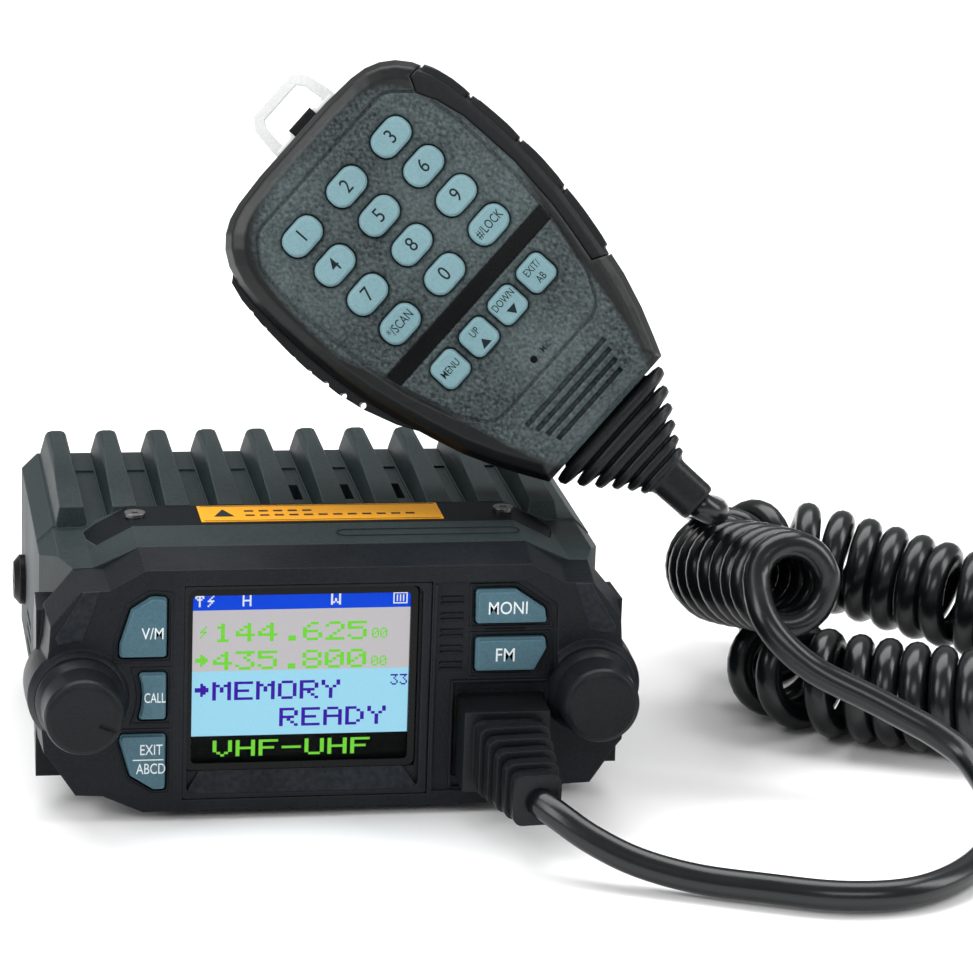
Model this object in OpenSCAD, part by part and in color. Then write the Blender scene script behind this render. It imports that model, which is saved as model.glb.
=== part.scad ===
// Mobile transceiver: two-knob dash radio with a keypad hand microphone on a curly cord.
// Millimetres. X to the right, Y away from the front panel, Z up. Z = 0 is the plane the
// feet stand on and the origin is the middle of the radio's base.

/* [Radio body] */
// Half width across the cast side walls
body_hw = 46; // [40:0.5:60]
// Y of the front face of the panel
face_y = -36; // [-50:0.5:-30]
// Y where the panel moulding meets the casting
seam_y = -27; // [-40:0.5:-20]
// Y of the back edge of the finned top
back_y = 38; // [30:0.5:60]
// How far the connector tail reaches behind the finned top
tail_len = 12; // [0:0.5:30]
// Height of the joint between casting and bottom cover
split_z = 10; // [6:0.5:16]
// Height of the floor between the fins
deck_z = 40; // [34:0.5:46]
// Height of the raised front hood
hood_z = 43; // [38:0.5:50]
// Wall thickness of the casting
wall = 3; // [2:0.1:5]
// Height of the feet under the bottom cover
foot_h = 1.5; // [0.5:0.1:4]

/* [Fins] */
// Number of cooling fins
fin_n = 10; // [4:1:14]
// Distance between fins
fin_pitch = 8.7; // [6:0.1:12]
// X of the first fin
fin_x0 = -40.3; // [-44:0.1:-36]
// Height of the fin tips at the back
fin_z = 45; // [41:0.1:52]

/* [Panel] */
// X of the centre of the display
lcd_x = -5.8; // [-12:0.1:12]
// Z of the centre of the display
lcd_z = 23.2; // [15:0.1:30]
// Width of the lit display area
lcd_w = 35; // [25:0.1:45]
// Height of the lit display area
lcd_h = 28.3; // [18:0.1:32]
// Travel of every push key
key_travel = 0.8; // [0.3:0.1:1.5]
// Running gap around a key
key_gap = 0.3; // [0.15:0.05:0.6]

/* [Knobs] */
// X of both knob shafts, left and right of the middle
knob_x = 41; // [36:0.1:44]
// Z of the knob shafts
knob_z = 21.1; // [16:0.1:26]
// Radius of the knob cap
knob_r = 6.2; // [4:0.1:8]
// Radius of the knob shafts
shaft_r = 3; // [2:0.1:3.2]

/* [Rear panel] */
// Radius over the thread of the antenna socket
ant_r = 7.9; // [6:0.1:8.5]
// Radius of the fan's air opening
fan_r = 9.3; // [7:0.1:9.4]
// Radius of the tapped holes for the mounting bracket
bracket_hole_r = 2; // [1.5:0.1:3]

/* [Hand microphone] */
// Middle of the microphone keypad
mic_pos = [12.3, -2.7, 88.7]; // [-200:0.1:200]
// Turns of the microphone about X, then Y, then Z
mic_rot = [65.3, -47.6, 8.6]; // [-180:0.1:180]
// Thickness of the microphone body
mic_t = 21.5; // [16:0.5:30]
// Column pitch of the keypad
col_p = 10.85; // [8:0.05:14]
// Row pitch of the keypad
row_p = 7.13; // [5:0.05:10]

/* [Cord] */
// Diameter of the cord
cord_d = 4.7; // [3:0.1:8]
// Outer diameter of the curled part
coil_d = 18.6; // [12:0.1:30]

/* [Hidden] */
tail_y = back_y + tail_len;
fit = 0.02;
jack_x = 26.4;
jack_z = 12.8;
spk_y = 14;

// ---------- shared shapes ----------
function mirrored(h) = concat(h, [for (i = [len(h) - 1:-1:0]) [-h[i][0], h[i][1]]]);
module along_y(y0, y1) { translate([0, y1, 0]) rotate([90, 0, 0]) linear_extrude(height = y1 - y0) children(); }
module box(x0, x1, y0, y1, z0, z1) { translate([x0, y0, z0]) cube([x1 - x0, y1 - y0, z1 - z0]); }
module cyl_y(x, z, r, y0, y1, fn = 48) { translate([x, y1, z]) rotate([90, 0, 0]) cylinder(r = r, h = y1 - y0, $fn = fn); }
module cyl_z(x, y, r, z0, z1, fn = 40) { translate([x, y, z0]) cylinder(r = r, h = z1 - z0, $fn = fn); }
module cyl_x(y, z, r, x0, x1, fn = 40) { translate([x0, y, z]) rotate([0, 90, 0]) cylinder(r = r, h = x1 - x0, $fn = fn); }

// ---------- casting ----------
plan_half = [[41.6, seam_y], [body_hw, -12], [body_hw, back_y]];
module body_plan(o = 0) { offset(delta = o) polygon(mirrored([for (p = plan_half) p])); }
hood_half = [[31.2, hood_z], [38.5, 39.7], [43.4, 39.6], [body_hw, 37.2], [body_hw, split_z]];
deck_half = [[43.4, deck_z], [body_hw, 37.4], [body_hw, split_z]];
module fin_2d() {
  for (i = [0:fin_n - 1]) translate([fin_x0 + i * fin_pitch, 0])
    polygon([[-2.6, deck_z - 1], [-2.5, deck_z + 0.6], [-1.8, fin_z - 1.1], [-1.4, fin_z - 0.4], [-0.7, fin_z],
      [0.7, fin_z], [1.4, fin_z - 0.4], [1.8, fin_z - 1.1], [2.5, deck_z + 0.6], [2.6, deck_z - 1]]);
}
module plate_plan(o = 0) {
  offset(delta = o) polygon(mirrored([[30.5, -4.7], [36.5, -6.2], [38.4, -7.8], [38.2, -12], [37, -17], [31.2, -15.6]]));
}
module hood_band(t0, t1) {
  along_y(-20, -2) polygon(concat(
    [for (p = [[39.4, 39.3], [31.2, hood_z], [-31.2, hood_z], [-39.4, 39.3]]) [p[0], p[1] + t1]],
    [for (p = [[-39.4, 39.3], [-31.2, hood_z], [31.2, hood_z], [39.4, 39.3]]) [p[0], p[1] + t0]]));
}
boss_xy = [[-38, -20], [38, -20], [-38, 30], [38, 30]];
module chassis() {
  color([0.24, 0.28, 0.28]) difference() {
    union() {
      intersection() {
        translate([0, 0, split_z]) linear_extrude(height = 50) body_plan();
        union() {
          along_y(seam_y, -4.6) polygon(mirrored(hood_half));
          along_y(-5, back_y) polygon(mirrored(deck_half));
        }
      }
      intersection() {
        along_y(-6, back_y) fin_2d();
        rotate([90, 0, 90]) translate([0, 0, -60]) linear_extrude(height = 120)
          polygon([[-5.5, 38], [-4.8, 43.1], [28, fin_z], [34.6, fin_z], [35.6, 44.4], [37.6, deck_z], [back_y, 38]]);
      }
      // connector tail
      box(-43, 43, back_y - 1, tail_y, split_z, 35);
    }
    // inner space, open below and at the front
    translate([0, 0, split_z - 1]) linear_extrude(height = 37.4 - split_z) polygon(mirrored([[38.6, seam_y - 1], [43, -12], [43, back_y - wall]]));
    box(-40, 40, back_y - wall - 1, tail_y - wall, split_z + 2.5, 32.6);
    // recess for the trim plate
    intersection() {
      hood_band(-0.8, 1.5);
      translate([0, 0, 30]) linear_extrude(height = 20) plate_plan(0.15);
    }
    for (s = [-1, 1]) {
      cyl_z(s * 30.4, -10.2, 0.8, 34, 46, 24);
      // slots low in the side walls
      for (k = [0:2]) translate([s * 40, 10, 11.8 + 2.5 * k]) translate([s > 0 ? 0 : -8, 0, 0]) cube([8, 10, 1.2]);
      // tapped bracket holes
      cyl_x(0, 20, bracket_hole_r, s > 0 ? 40 : -50, s > 0 ? 50 : -40);
      cyl_x(29, 20, bracket_hole_r, s > 0 ? 40 : -50, s > 0 ? 50 : -40);
    }
    // slots in the deck between the fins
    for (k = [0:2]) box(-1.9 + k * fin_pitch, -0.3 + k * fin_pitch, 9, 18, 34, 42);
    // shallow step in the deck
    for (i = [0:fin_n - 2]) box(fin_x0 + i * fin_pitch + 2.75, fin_x0 + (i + 1) * fin_pitch - 2.75, -4, 27, deck_z - 0.4, deck_z + 1);
    // fan opening and rear connectors
    box(-15.2, 15.2, tail_y - wall - 1, tail_y + 1, 13, 32.6);
    cyl_y(-30, 22, 6, tail_y - wall - 1, tail_y + 1);
    box(19.5, 30.5, tail_y - wall - 1, tail_y + 1, 18.5, 27.5);
    cyl_y(36.5, 23, 3.1, tail_y - wall - 1, tail_y + 1);
  }
  color([0.24, 0.28, 0.28]) for (p = boss_xy) difference() {
    cyl_z(p[0], p[1], 3.2, split_z, 36.5);
    cyl_z(p[0], p[1], 1.25, split_z - 1, 30, 24);
  }
  // ledges that carry the main board
  color([0.24, 0.28, 0.28]) for (s = [-1, 1]) difference() {
    box(s > 0 ? 39.8 : -43.3, s > 0 ? 43.3 : -39.8, -8, 34, 20.2, 22.6);
    for (y = [0, 29]) cyl_x(y, 20, 2.3, s > 0 ? 39 : -44, s > 0 ? 44 : -39);
    for (p = boss_xy) cyl_z(p[0], p[1], 1.25, split_z - 1, 30, 24);
  }
}

// ---------- bottom cover ----------
module bottom_cover() {
  color([0.2, 0.23, 0.23]) difference() {
    union() {
      intersection() {
        translate([0, 0, foot_h]) linear_extrude(height = split_z - foot_h) body_plan(-0.3);
        along_y(seam_y - 1, back_y + 1) polygon(mirrored([[46, split_z + 1], [45.8, split_z], [41.6, 4.4], [37.4, 4.2], [30.9, foot_h]]));
      }
      for (x = [-29, 29], y = [-17, 28]) cyl_z(x, y, 5, 0, foot_h + 1);
      cyl_z(0, 0, 3.2, 0, foot_h + 1);
    }
    intersection() {
      translate([0, 0, foot_h + 2]) linear_extrude(height = 20) offset(delta = -2.5) polygon(mirrored([[41, seam_y + 1], [body_hw, -12], [body_hw, back_y]]));
      along_y(seam_y - 1, back_y + 1) polygon(mirrored([[44, split_z + 12], [43.6, split_z], [40.3, 6.6], [36.5, 6.2], [30.4, foot_h + 2]]));
    }
    for (p = boss_xy) { cyl_z(p[0], p[1], 1.5, -1, 12, 24); cyl_z(p[0], p[1], 2.9, -1, 5.4, 32); }
    box(jack_x - 7.6, jack_x + 7.6, -28, -20.5, jack_z - 7.2, split_z + 2);
    // sound slots under the loudspeaker
    for (k = [-3:3]) box(-11 + abs(k), 11 - abs(k), spk_y + 3 * k - 0.7, spk_y + 3 * k + 0.7, -1, 6);
  }
  color([0.2, 0.23, 0.23]) for (p = boss_xy) difference() {
    cyl_z(p[0], p[1], 3.6, 5, split_z);
    cyl_z(p[0], p[1], 1.5, 0, 12, 24);
    cyl_z(p[0], p[1], 2.9, -1, 5.4, 32);
  }
}

// ---------- trim plate, label and screws ----------
module top_plate() {
  color([0.12, 0.13, 0.14]) difference() {
    intersection() {
      hood_band(-0.8, 0);
      translate([0, 0, 30]) linear_extrude(height = 20) plate_plan();
    }
    for (s = [-1, 1]) cyl_z(s * 30.4, -10.2, 1.0, 34, 46, 24);
  }
}
module top_label() { color([0.95, 0.65, 0.1]) box(-19.9, 19.9, -14.3, -5.5, hood_z, hood_z + 0.12); }
module plate_screws() {
  color([0.5, 0.5, 0.5]) for (s = [-1, 1]) translate([s * 30.4, -10.2, 0]) difference() {
    union() { cyl_z(0, 0, 0.78, 36, hood_z, 24); cyl_z(0, 0, 1.7, hood_z, hood_z + 0.7, 32); }
    cyl_z(0, 0, 0.6, hood_z + 0.3, hood_z + 2, 6);
  }
}
module cover_screws() {
  color([0.5, 0.5, 0.5]) for (p = boss_xy) difference() {
    union() { cyl_z(p[0], p[1], 1.23, 5, 22, 24); cyl_z(p[0], p[1], 2.7, 3.7, 5.4, 32); }
    cyl_z(p[0], p[1], 1.0, 3, 4.6, 6);
  }
}
module side_screws() {
  color([0.1, 0.1, 0.1]) for (s = [-1, 1]) translate([s * body_hw, 29, 20]) rotate([0, s * 90, 0]) difference() {
    union() {
      cylinder(r = 4.3, h = 0.9, $fn = 40);
      translate([0, 0, 0.9]) cylinder(r1 = 4.3, r2 = 3.1, h = 1, $fn = 40);
      translate([0, 0, -2.9]) cylinder(r = bracket_hole_r - 0.02, h = 3, $fn = 40);
    }
    for (a = [0, 90]) rotate([0, 0, a]) translate([-2, -0.35, 1.2]) cube([4, 0.7, 2]);
  }
}

// ---------- front moulding ----------
bez_half = [[31.2, hood_z], [37, 39.7], [41.6, 39.5], [46.3, 33.8], [46.6, 29.5], [47.6, 24], [47.7, 16.5],
  [47.3, 12.2], [46.5, 11.2], [42.2, 4.7], [37.9, 4.5], [31.3, foot_h]];
cav_half = [[30.5, 40.6], [36, 37.4], [40.4, 37.2], [43.8, 33], [44.8, 28], [45, 14], [41, 7], [37, 6.6], [31, 3.7]];
vm_2d = [[-28.9, 37.6], [-27.4, 37.4], [-27.4, 27.6], [-34.8, 27.6], [-34.8, 29.8], [-33, 35.6], [-29.9, 37.6]];
call_2d = [[-31.8, 25], [-27.4, 25], [-27.4, 17.2], [-31.8, 17.2], [-31.3, 19], [-31.1, 21.1], [-31.3, 23.2]];
exit_2d = [[-34.5, 14.7], [-27.4, 14.7], [-27.4, 5.4], [-29.3, 5.4], [-33, 7.8], [-34.7, 13.6]];
moni_2d = [[21.9, 37.7], [28.3, 37.7], [33.1, 34.4], [33.5, 32.1], [22, 32.1]];
fm_2d = [[22.1, 29.6], [33.3, 29.6], [33.6, 27.8], [31.7, 24.1], [22.1, 24.1]];
module rnd(r = 0.5) { offset(r = r, $fn = 16) offset(delta = -r) children(); }
module front_bezel() {
  color([0.13, 0.14, 0.15]) difference() {
    union() {
      translate([0, seam_y, foot_h]) rotate([90, 0, 0]) linear_extrude(height = seam_y - face_y, scale = [0.985, 0.971])
        polygon([for (p = mirrored(bez_half)) [p[0], p[1] - foot_h]]);
      for (s = [-1, 1]) {
        // collars round the knobs
        cyl_y(s * knob_x, knob_z, 8.4, seam_y - 3, seam_y, 64);
        translate([s * knob_x, seam_y - 3, knob_z]) rotate([90, 0, 0]) cylinder(r1 = 8.4, r2 = 8.2, h = 5.5, $fn = 64);
        translate([s * knob_x, seam_y - 8.5, knob_z]) rotate([90, 0, 0]) cylinder(r1 = 8.2, r2 = 7.2, h = 1.7, $fn = 64);
        // ears wrapping the casting's front corners
        intersection() {
          translate([0, 0, 4.6]) linear_extrude(height = 29) polygon([[s * 41.9, seam_y - 1], [s * 46.25, -12.2], [s * 46.9, -12.2], [s * 47.4, seam_y - 1]]);
          rotate([90, 0, 90]) translate([0, 0, -60]) linear_extrude(height = 120)
            polygon([[-29, 4.6], [-14, 12.5], [-12, 14], [-12, 27], [-19, 33.2], [-29, 33.2]]);
        }
      }
    }
    // room behind the panel
    along_y(face_y + 2.2, seam_y + 1) polygon(mirrored(cav_half));
    // display recess and window
    box(-24.6, 14.9, face_y - 1, face_y + 1.2, 3.4, 39.2);
    box(lcd_x - lcd_w / 2 - 1.2, lcd_x + lcd_w / 2 + 1.2, face_y, face_y + 4, lcd_z - lcd_h / 2 - 1.2, lcd_z + lcd_h / 2 + 1.2);
    // right-hand field
    translate([0, face_y + 0.6, 0]) rotate([90, 0, 0]) linear_extrude(height = 2)
      polygon([[15.7, 39], [30, 39], [35.2, 35], [35.4, 23], [34.3, 22.2], [34.3, 3.8], [15.7, 3.8]]);
    // microphone socket pocket
    box(18.9, 33.8, face_y - 1, face_y + 1.3, 4.2, 21.8);
    box(19.1, 33.7, face_y - 1, face_y + 4, 5.9, 19.7);
    // key openings
    for (k = [vm_2d, call_2d, exit_2d, moni_2d, fm_2d])
      translate([0, face_y + 4, 0]) rotate([90, 0, 0]) linear_extrude(height = 6) offset(delta = key_gap) rnd() polygon(k);
    for (s = [-1, 1]) cyl_y(s * knob_x, knob_z, 3.6, face_y - 3, seam_y);
  }
  // posts behind the panel that the front board sits on
  color([0.13, 0.14, 0.15]) for (p = [[-38, 29.3], [38, 29.3], [35, 10]]) cyl_y(p[0], p[1], 0.9, -34, -30.4, 24);
}
module display_lens() {
  color([0.6, 0.7, 0.8, 0.4]) box(lcd_x - lcd_w / 2 - 1, lcd_x + lcd_w / 2 + 1, face_y + 1.1, face_y + 2.4, lcd_z - lcd_h / 2 - 1, lcd_z + lcd_h / 2 + 1);
}
module lcd_module() {
  color([0.3, 0.5, 0.8]) box(lcd_x - lcd_w / 2 - 2.4, lcd_x + lcd_w / 2 + 2, face_y + 2.4, face_y + 5.6, lcd_z - lcd_h / 2 - 3, lcd_z + lcd_h / 2 + 2.2);
}
module panel_key(pts, cx, cz) {
  color([0.3, 0.42, 0.47]) {
    translate([0, face_y + 2.5, 0]) rotate([90, 0, 0]) linear_extrude(height = 2.5) rnd() polygon(pts);
    translate([0, face_y + 0.01, 0]) rotate([90, 0, 0]) linear_extrude(height = 0.7) offset(delta = -0.25) rnd() polygon(pts);
    translate([0, face_y + 3.3, 0]) rotate([90, 0, 0]) linear_extrude(height = 0.9) offset(delta = 0.7) polygon(pts);
    cyl_y(cx, cz, 1.4, face_y + 3, face_y + 3.65, 24);
  }
}
module key_vm() { panel_key(vm_2d, -31, 32); }
module key_call() { panel_key(call_2d, -29.4, 21.1); }
module key_exit() { panel_key(exit_2d, -30.8, 10.6); }
module key_moni() { panel_key(moni_2d, 27, 34.8); }
module key_fm() { panel_key(fm_2d, 27, 26.8); }

// ---------- knobs and their shafts ----------
module knob(sx) {
  color([0.1, 0.1, 0.11]) translate([sx * knob_x, 0, knob_z]) rotate([90, 0, 0]) difference() {
    rotate_extrude($fn = 72) polygon([[shaft_r + fit, 37.5], [7.1, 37.5], [7.1, 38.4], [6.7, 39.4], [knob_r + 0.15, 40.2],
      [knob_r, 45.4], [knob_r - 0.3, 46.1], [knob_r - 1, 46.5], [0, 46.5], [0, 44.2], [shaft_r + fit, 44.2]]);
    if (sx < 0) rotate([0, 0, -22]) translate([2.6, -0.3, 46.2]) cube([3.2, 0.6, 1]);
  }
}
module knob_left() { knob(-1); }
module knob_right() { knob(1); }
module shaft(sx) { color([0.7, 0.7, 0.68]) cyl_y(sx * knob_x, knob_z, shaft_r, -44, -31.2); }
module shaft_left() { shaft(-1); }
module shaft_right() { shaft(1); }
module pot(sx, d) {
  color([0.5, 0.5, 0.45]) difference() {
    union() {
      box(sx * knob_x - (sx > 0 ? 5 : 3.2), sx * knob_x + (sx > 0 ? 3.2 : 5), -33.6, -30.4, knob_z - 5.2, knob_z + 5.2);
      cyl_y(sx * knob_x, knob_z, 3.5, -37.2, -33.5);
    }
    cyl_y(sx * knob_x, knob_z, shaft_r + 0.04, -38, -31.1);
  }
}
module pot_left() { pot(-1); }
module encoder_right() { pot(1); }

// ---------- electronics ----------
module mic_jack() {
  color([0.08, 0.08, 0.08]) difference() {
    box(jack_x - 7.2, jack_x + 7.2, -34.6, -21, jack_z - 6.8, jack_z + 6.8);
    box(jack_x - 5.95, jack_x + 5.95, -36, -22.5, jack_z - 3.4, jack_z + 3.5);
    box(jack_x - 3, jack_x + 3, -36, -24, jack_z - 5.6, jack_z);
  }
}
module front_pcb() {
  color([0.1, 0.35, 0.2]) {
    difference() {
      along_y(-30.4, -28.8) polygon(mirrored([[34, 38], [36, 32], [43, 28], [43, 14], [36, 12], [36, 7.2], [31, 5]]));
      box(jack_x - 7.4, jack_x + 7.4, -32, -28, jack_z - 7, jack_z + 7);
    }
    for (p = [[-31, 32], [-29.4, 21.1], [-30.8, 10.6], [27, 34.8], [27, 26.8]]) {
      box(p[0] - 2, p[0] + 2, -31, -30.3, p[1] - 2, p[1] + 2);
      cyl_y(p[0], p[1], 1, -31.5, -30.9, 24);
    }
  }
}
module main_pcb() {
  color([0.1, 0.38, 0.22]) {
    difference() {
      translate([0, 0, 22.6]) linear_extrude(height = 1.6) polygon(mirrored([[38.2, -26], [41.5, -13], [41.5, 34]]));
      for (p = boss_xy) cyl_z(p[0], p[1], 3.4, 20, 26);
    }
    box(-30, 2, 2, 26, 24.1, 30);
    box(8, 26, -14, 4, 24.1, 28);
    box(12, 30, 12, 30, 24.1, 36.2);
    for (k = [0:3]) cyl_z(-34 + 9 * k, -10, 2.6, 24.1, 31, 24);
    box(-24, -10, -27.6, -24, 24.1, 27.5);
  }
}
module speaker() {
  color([0.15, 0.15, 0.15]) translate([0, spk_y, 0]) rotate_extrude($fn = 72) polygon([[0, 6.4], [13, 4.6], [15.5, 3.5], [18, 3.5], [18, 5], [14.5, 8], [9, 8.4], [9, 11.5], [0, 11.5]]);
}
module fan_frame() {
  color([0.08, 0.08, 0.08]) {
    difference() {
      box(-15, 15, tail_y - 8.5, tail_y, 13.2, 32.4);
      cyl_y(0, 22.8, fan_r, tail_y - 9, tail_y + 1, 64);
    }
    union() {
      union() {
        for (a = [30, 150, 270]) translate([0, tail_y - 1.2, 22.8]) rotate([0, a, 0]) translate([0, 0, -0.9]) cube([fan_r + 0.3, 1.2, 1.8]);
        cyl_y(0, 22.8, 4.3, tail_y - 1.2, tail_y, 48);
      }
    }
    cyl_y(0, 22.8, 1.0, tail_y - 7.5, tail_y - 1, 32);
  }
}
module fan_rotor() {
  color([0.12, 0.12, 0.12]) difference() {
    union() {
      cyl_y(0, 22.8, 4.2, tail_y - 7.8, tail_y - 1.6, 48);
      for (k = [0:6]) translate([0, tail_y - 4.7, 22.8]) rotate([0, k * 360 / 7, 0]) translate([3.8, 0, 0]) rotate([38, 0, 0])
        translate([0, -2.6, -0.35]) cube([fan_r - 4.3, 5.2, 0.7]);
    }
    cyl_y(0, 22.8, 1.04, tail_y - 9, tail_y, 32);
  }
}
module antenna_socket() {
  color([0.78, 0.78, 0.74]) difference() {
    union() {
      box(-39, -21, tail_y, tail_y + 2, 13, 31);
      cyl_y(-30, 22, ant_r, tail_y + 1, tail_y + 15, 64);
      cyl_y(-30, 22, 5.8, tail_y - 8, tail_y + 1, 48);
    }
    cyl_y(-30, 22, 5.6, tail_y + 5, tail_y + 16, 48);
    cyl_y(-30, 22, 1.9, tail_y - 2, tail_y + 16, 32);
  }
}
module dc_socket() {
  color([0.08, 0.08, 0.08]) difference() {
    union() { box(19.6, 30.4, tail_y - 8, tail_y + 5, 18.6, 27.4); box(18, 32, tail_y, tail_y + 1.4, 17, 29); }
    for (x = [22.3, 27.7]) box(x - 1.9, x + 1.9, tail_y - 4, tail_y + 6, 20.4, 25.6);
  }
}
module speaker_jack() {
  color([0.7, 0.7, 0.68]) difference() {
    union() { cyl_y(36.5, 23, 3.0, tail_y - 6, tail_y + 0.2, 40); cyl_y(36.5, 23, 3.9, tail_y, tail_y + 1.6, 40); }
    cyl_y(36.5, 23, 1.8, tail_y - 5, tail_y + 3, 32);
  }
}

// ---------- hand microphone (own axes: X across, Y up the keypad, Z out of the face) ----------
module mic_place() { translate(mic_pos) rotate(mic_rot) children(); }
mo_half = [[8, 22.7], [13.8, 22.3], [16.6, 21.7], [18.9, 20.6], [20.9, 18.9], [22.5, 16.6], [23.7, 13.5], [24.4, 9.5], [24.8, 4], [24.9, -2], [24.6, -9],
  [23.9, -15], [22.8, -20.5], [21.4, -26.5], [19.8, -32.4], [17.6, -38.2], [15.4, -42.8], [13.8, -46]];
module mic_outline(o = 0) { offset(delta = o) polygon(mirrored(mo_half)); }
module layer(z0, z1, sx, sy) {
  // outline grown or shrunk about the middle of the body between two heights
  translate([0, mo_mid, z0]) if (z1 > z0) linear_extrude(height = z1 - z0, scale = [sx, sy]) translate([0, -mo_mid]) mic_outline();
  translate([0, mo_mid, z0]) if (z1 < z0) rotate([180, 0, 0]) linear_extrude(height = z0 - z1, scale = [sx, sy]) mirror([0, 1]) translate([0, -mo_mid]) mic_outline();
}
mo_mid = -12;
module mic_upper() {
  translate([0, 0, -9]) linear_extrude(height = 5.6) mic_outline();
  layer(-3.4, -1, 0.96, 0.97);
  translate([0, mo_mid, -1]) linear_extrude(height = 1, scale = [0.93, 0.945]) scale([0.96, 0.97, 1]) translate([0, -mo_mid]) mic_outline();
}
module mic_lower() {
  translate([0, 0, -15.5]) linear_extrude(height = 6.5) mic_outline();
  layer(-15.5, -18.4, 0.93, 0.95);
  translate([0, mo_mid, -18.4]) rotate([180, 0, 0]) linear_extrude(height = mic_t - 18.4, scale = [0.86, 0.9]) scale([0.93, 0.95, 1]) mirror([0, 1]) translate([0, -mo_mid]) mic_outline();
}
lever_out = [[-22.8, 15.5], [-24.2, 14.6], [-25.2, 11.5], [-26, 6.4], [-26.5, 0], [-26.6, -4], [-26.2, -10.5], [-25.4, -15], [-23.6, -20.8], [-21.4, -25.4], [-19.6, -28.3]];
lever_in = [[-17.6, -27.4], [-18.7, -25], [-20.2, -20.5], [-21.6, -14], [-22.2, -9], [-22.4, 0], [-22.3, 9], [-21.7, 14.6]];
function kx(c) = (c - 1) * col_p;
function ky(r) = (1.5 - r) * row_p;
fn_x = [-10.9, -3.9, 3.1, 10.1];
fn_y = -21.7;
hang_x = 3.6;
module oval(w, h, r) { offset(r = r, $fn = 24) square([w - 2 * r, h - 2 * r], center = true); }
pivot = [-17.6, -25.6];
mic_screw_uv = [[0, 17], [-9, -36.6], [9, -36.6]];
module lever_space(o) {
  // swept by the lever as its top is pressed in
  offset(delta = o) polygon(concat([[-30, 15.9], [-30, -30], [-19.6, -29]], [for (p = lever_in) [p[0] + 0.3 + (p[1] + 27) * 0.05, p[1]]], [[-19.5, 15.9]]));
  translate(pivot) circle(r = 2.5 + o, $fn = 32);
}
module lever_room() { translate([0, 0, -14.6]) linear_extrude(height = 11.2) lever_space(0); }
grip_2d = [[20.4, 15], [22.7, 15], [23.4, 13.4], [24.2, 9.5], [24.6, 4], [24.7, -2], [24.4, -9], [23.7, -15], [22.6, -20.5], [21.2, -26.5], [20.5, -28.4], [17.8, -27], [19, -22], [20.3, -16], [21.4, -7], [21.4, 4], [20.4, 9], [19, 12.6]];
module mic_front() {
  mic_place() color([0.24, 0.26, 0.26]) {
    difference() {
      mic_upper();
      // hollow
      difference() {
        translate([0, 0, -10]) linear_extrude(height = 7.8) intersection() { mic_outline(-2.4); translate([-30, -43]) square([60, 70]); }
        lever_wall();
      }
      lever_room();
      for (r = [0:3], c = [0:2]) translate([kx(c), ky(r), -4]) linear_extrude(height = 6) oval(7.2 + 2 * key_gap, 4.9 + 2 * key_gap, 2.2 + key_gap);
      for (x = fn_x) translate([x, fn_y, -4]) linear_extrude(height = 6) oval(5.5 + 2 * key_gap, 5.4 + 2 * key_gap, 1.4 + key_gap);
      translate([-0.7, -30.8, -5]) cylinder(r = 0.6, h = 8, $fn = 24);
      // lined edge of the key field
      translate([0, 0, -0.35]) linear_extrude(height = 2) difference() { face_field(0); face_field(-0.55); }
      // bar between number keys and function keys
      translate([0, 0, -0.3]) linear_extrude(height = 2) intersection() { face_field(-0.3); translate([-30, -17.6]) square([60, 3.1]); }
      for (k = [0:3]) translate([-9.6 + 0.6 * k, -37.5 - 1.75 * k, -0.9 - 0.25 * k]) cube([19.2 - 1.2 * k, 0.8, 3]);
      grip_room();
      // boot seat
      translate([0, -46.5, -10.5]) rotate([-90, 0, 0]) scale([1, 0.56, 1]) cylinder(r = 10.2, h = 6, $fn = 48);
    }
    translate([pivot[0], pivot[1], -16.5]) cylinder(r = 1.0, h = 15, $fn = 32);
    for (p = mic_screw_uv) translate([p[0], p[1], -6]) difference() { cylinder(r = 2.2, h = 4, $fn = 32); translate([0, 0, -1]) cylinder(r = 1.1, h = 4, $fn = 24); }
  }
}
module lever_wall() { translate([0, 0, -16]) linear_extrude(height = 20) lever_space(1.4); }
module grip_room() { translate([0, 0, -14.1]) linear_extrude(height = 20) polygon([[20.3, 15.2], [30, 15.2], [30, -28.6], [20.4, -28.6], [17.6, -27.1], [18.9, -22], [20.2, -16], [21.3, -7], [21.3, 4], [20.3, 9], [18.9, 12.6]]); }
module face_field(o) {
  offset(delta = o) offset(r = 4, $fn = 24) offset(delta = -4)
    polygon([[-15.5, 17], [15.5, 17], [19.6, 12.5], [20.6, 4], [20.2, -8], [18.6, -19], [16, -28], [12.8, -33.4], [-12.8, -33.4], [-16, -28], [-18.6, -19], [-20.2, -8], [-20.6, 4], [-19.6, 12.5]]);
}
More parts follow.
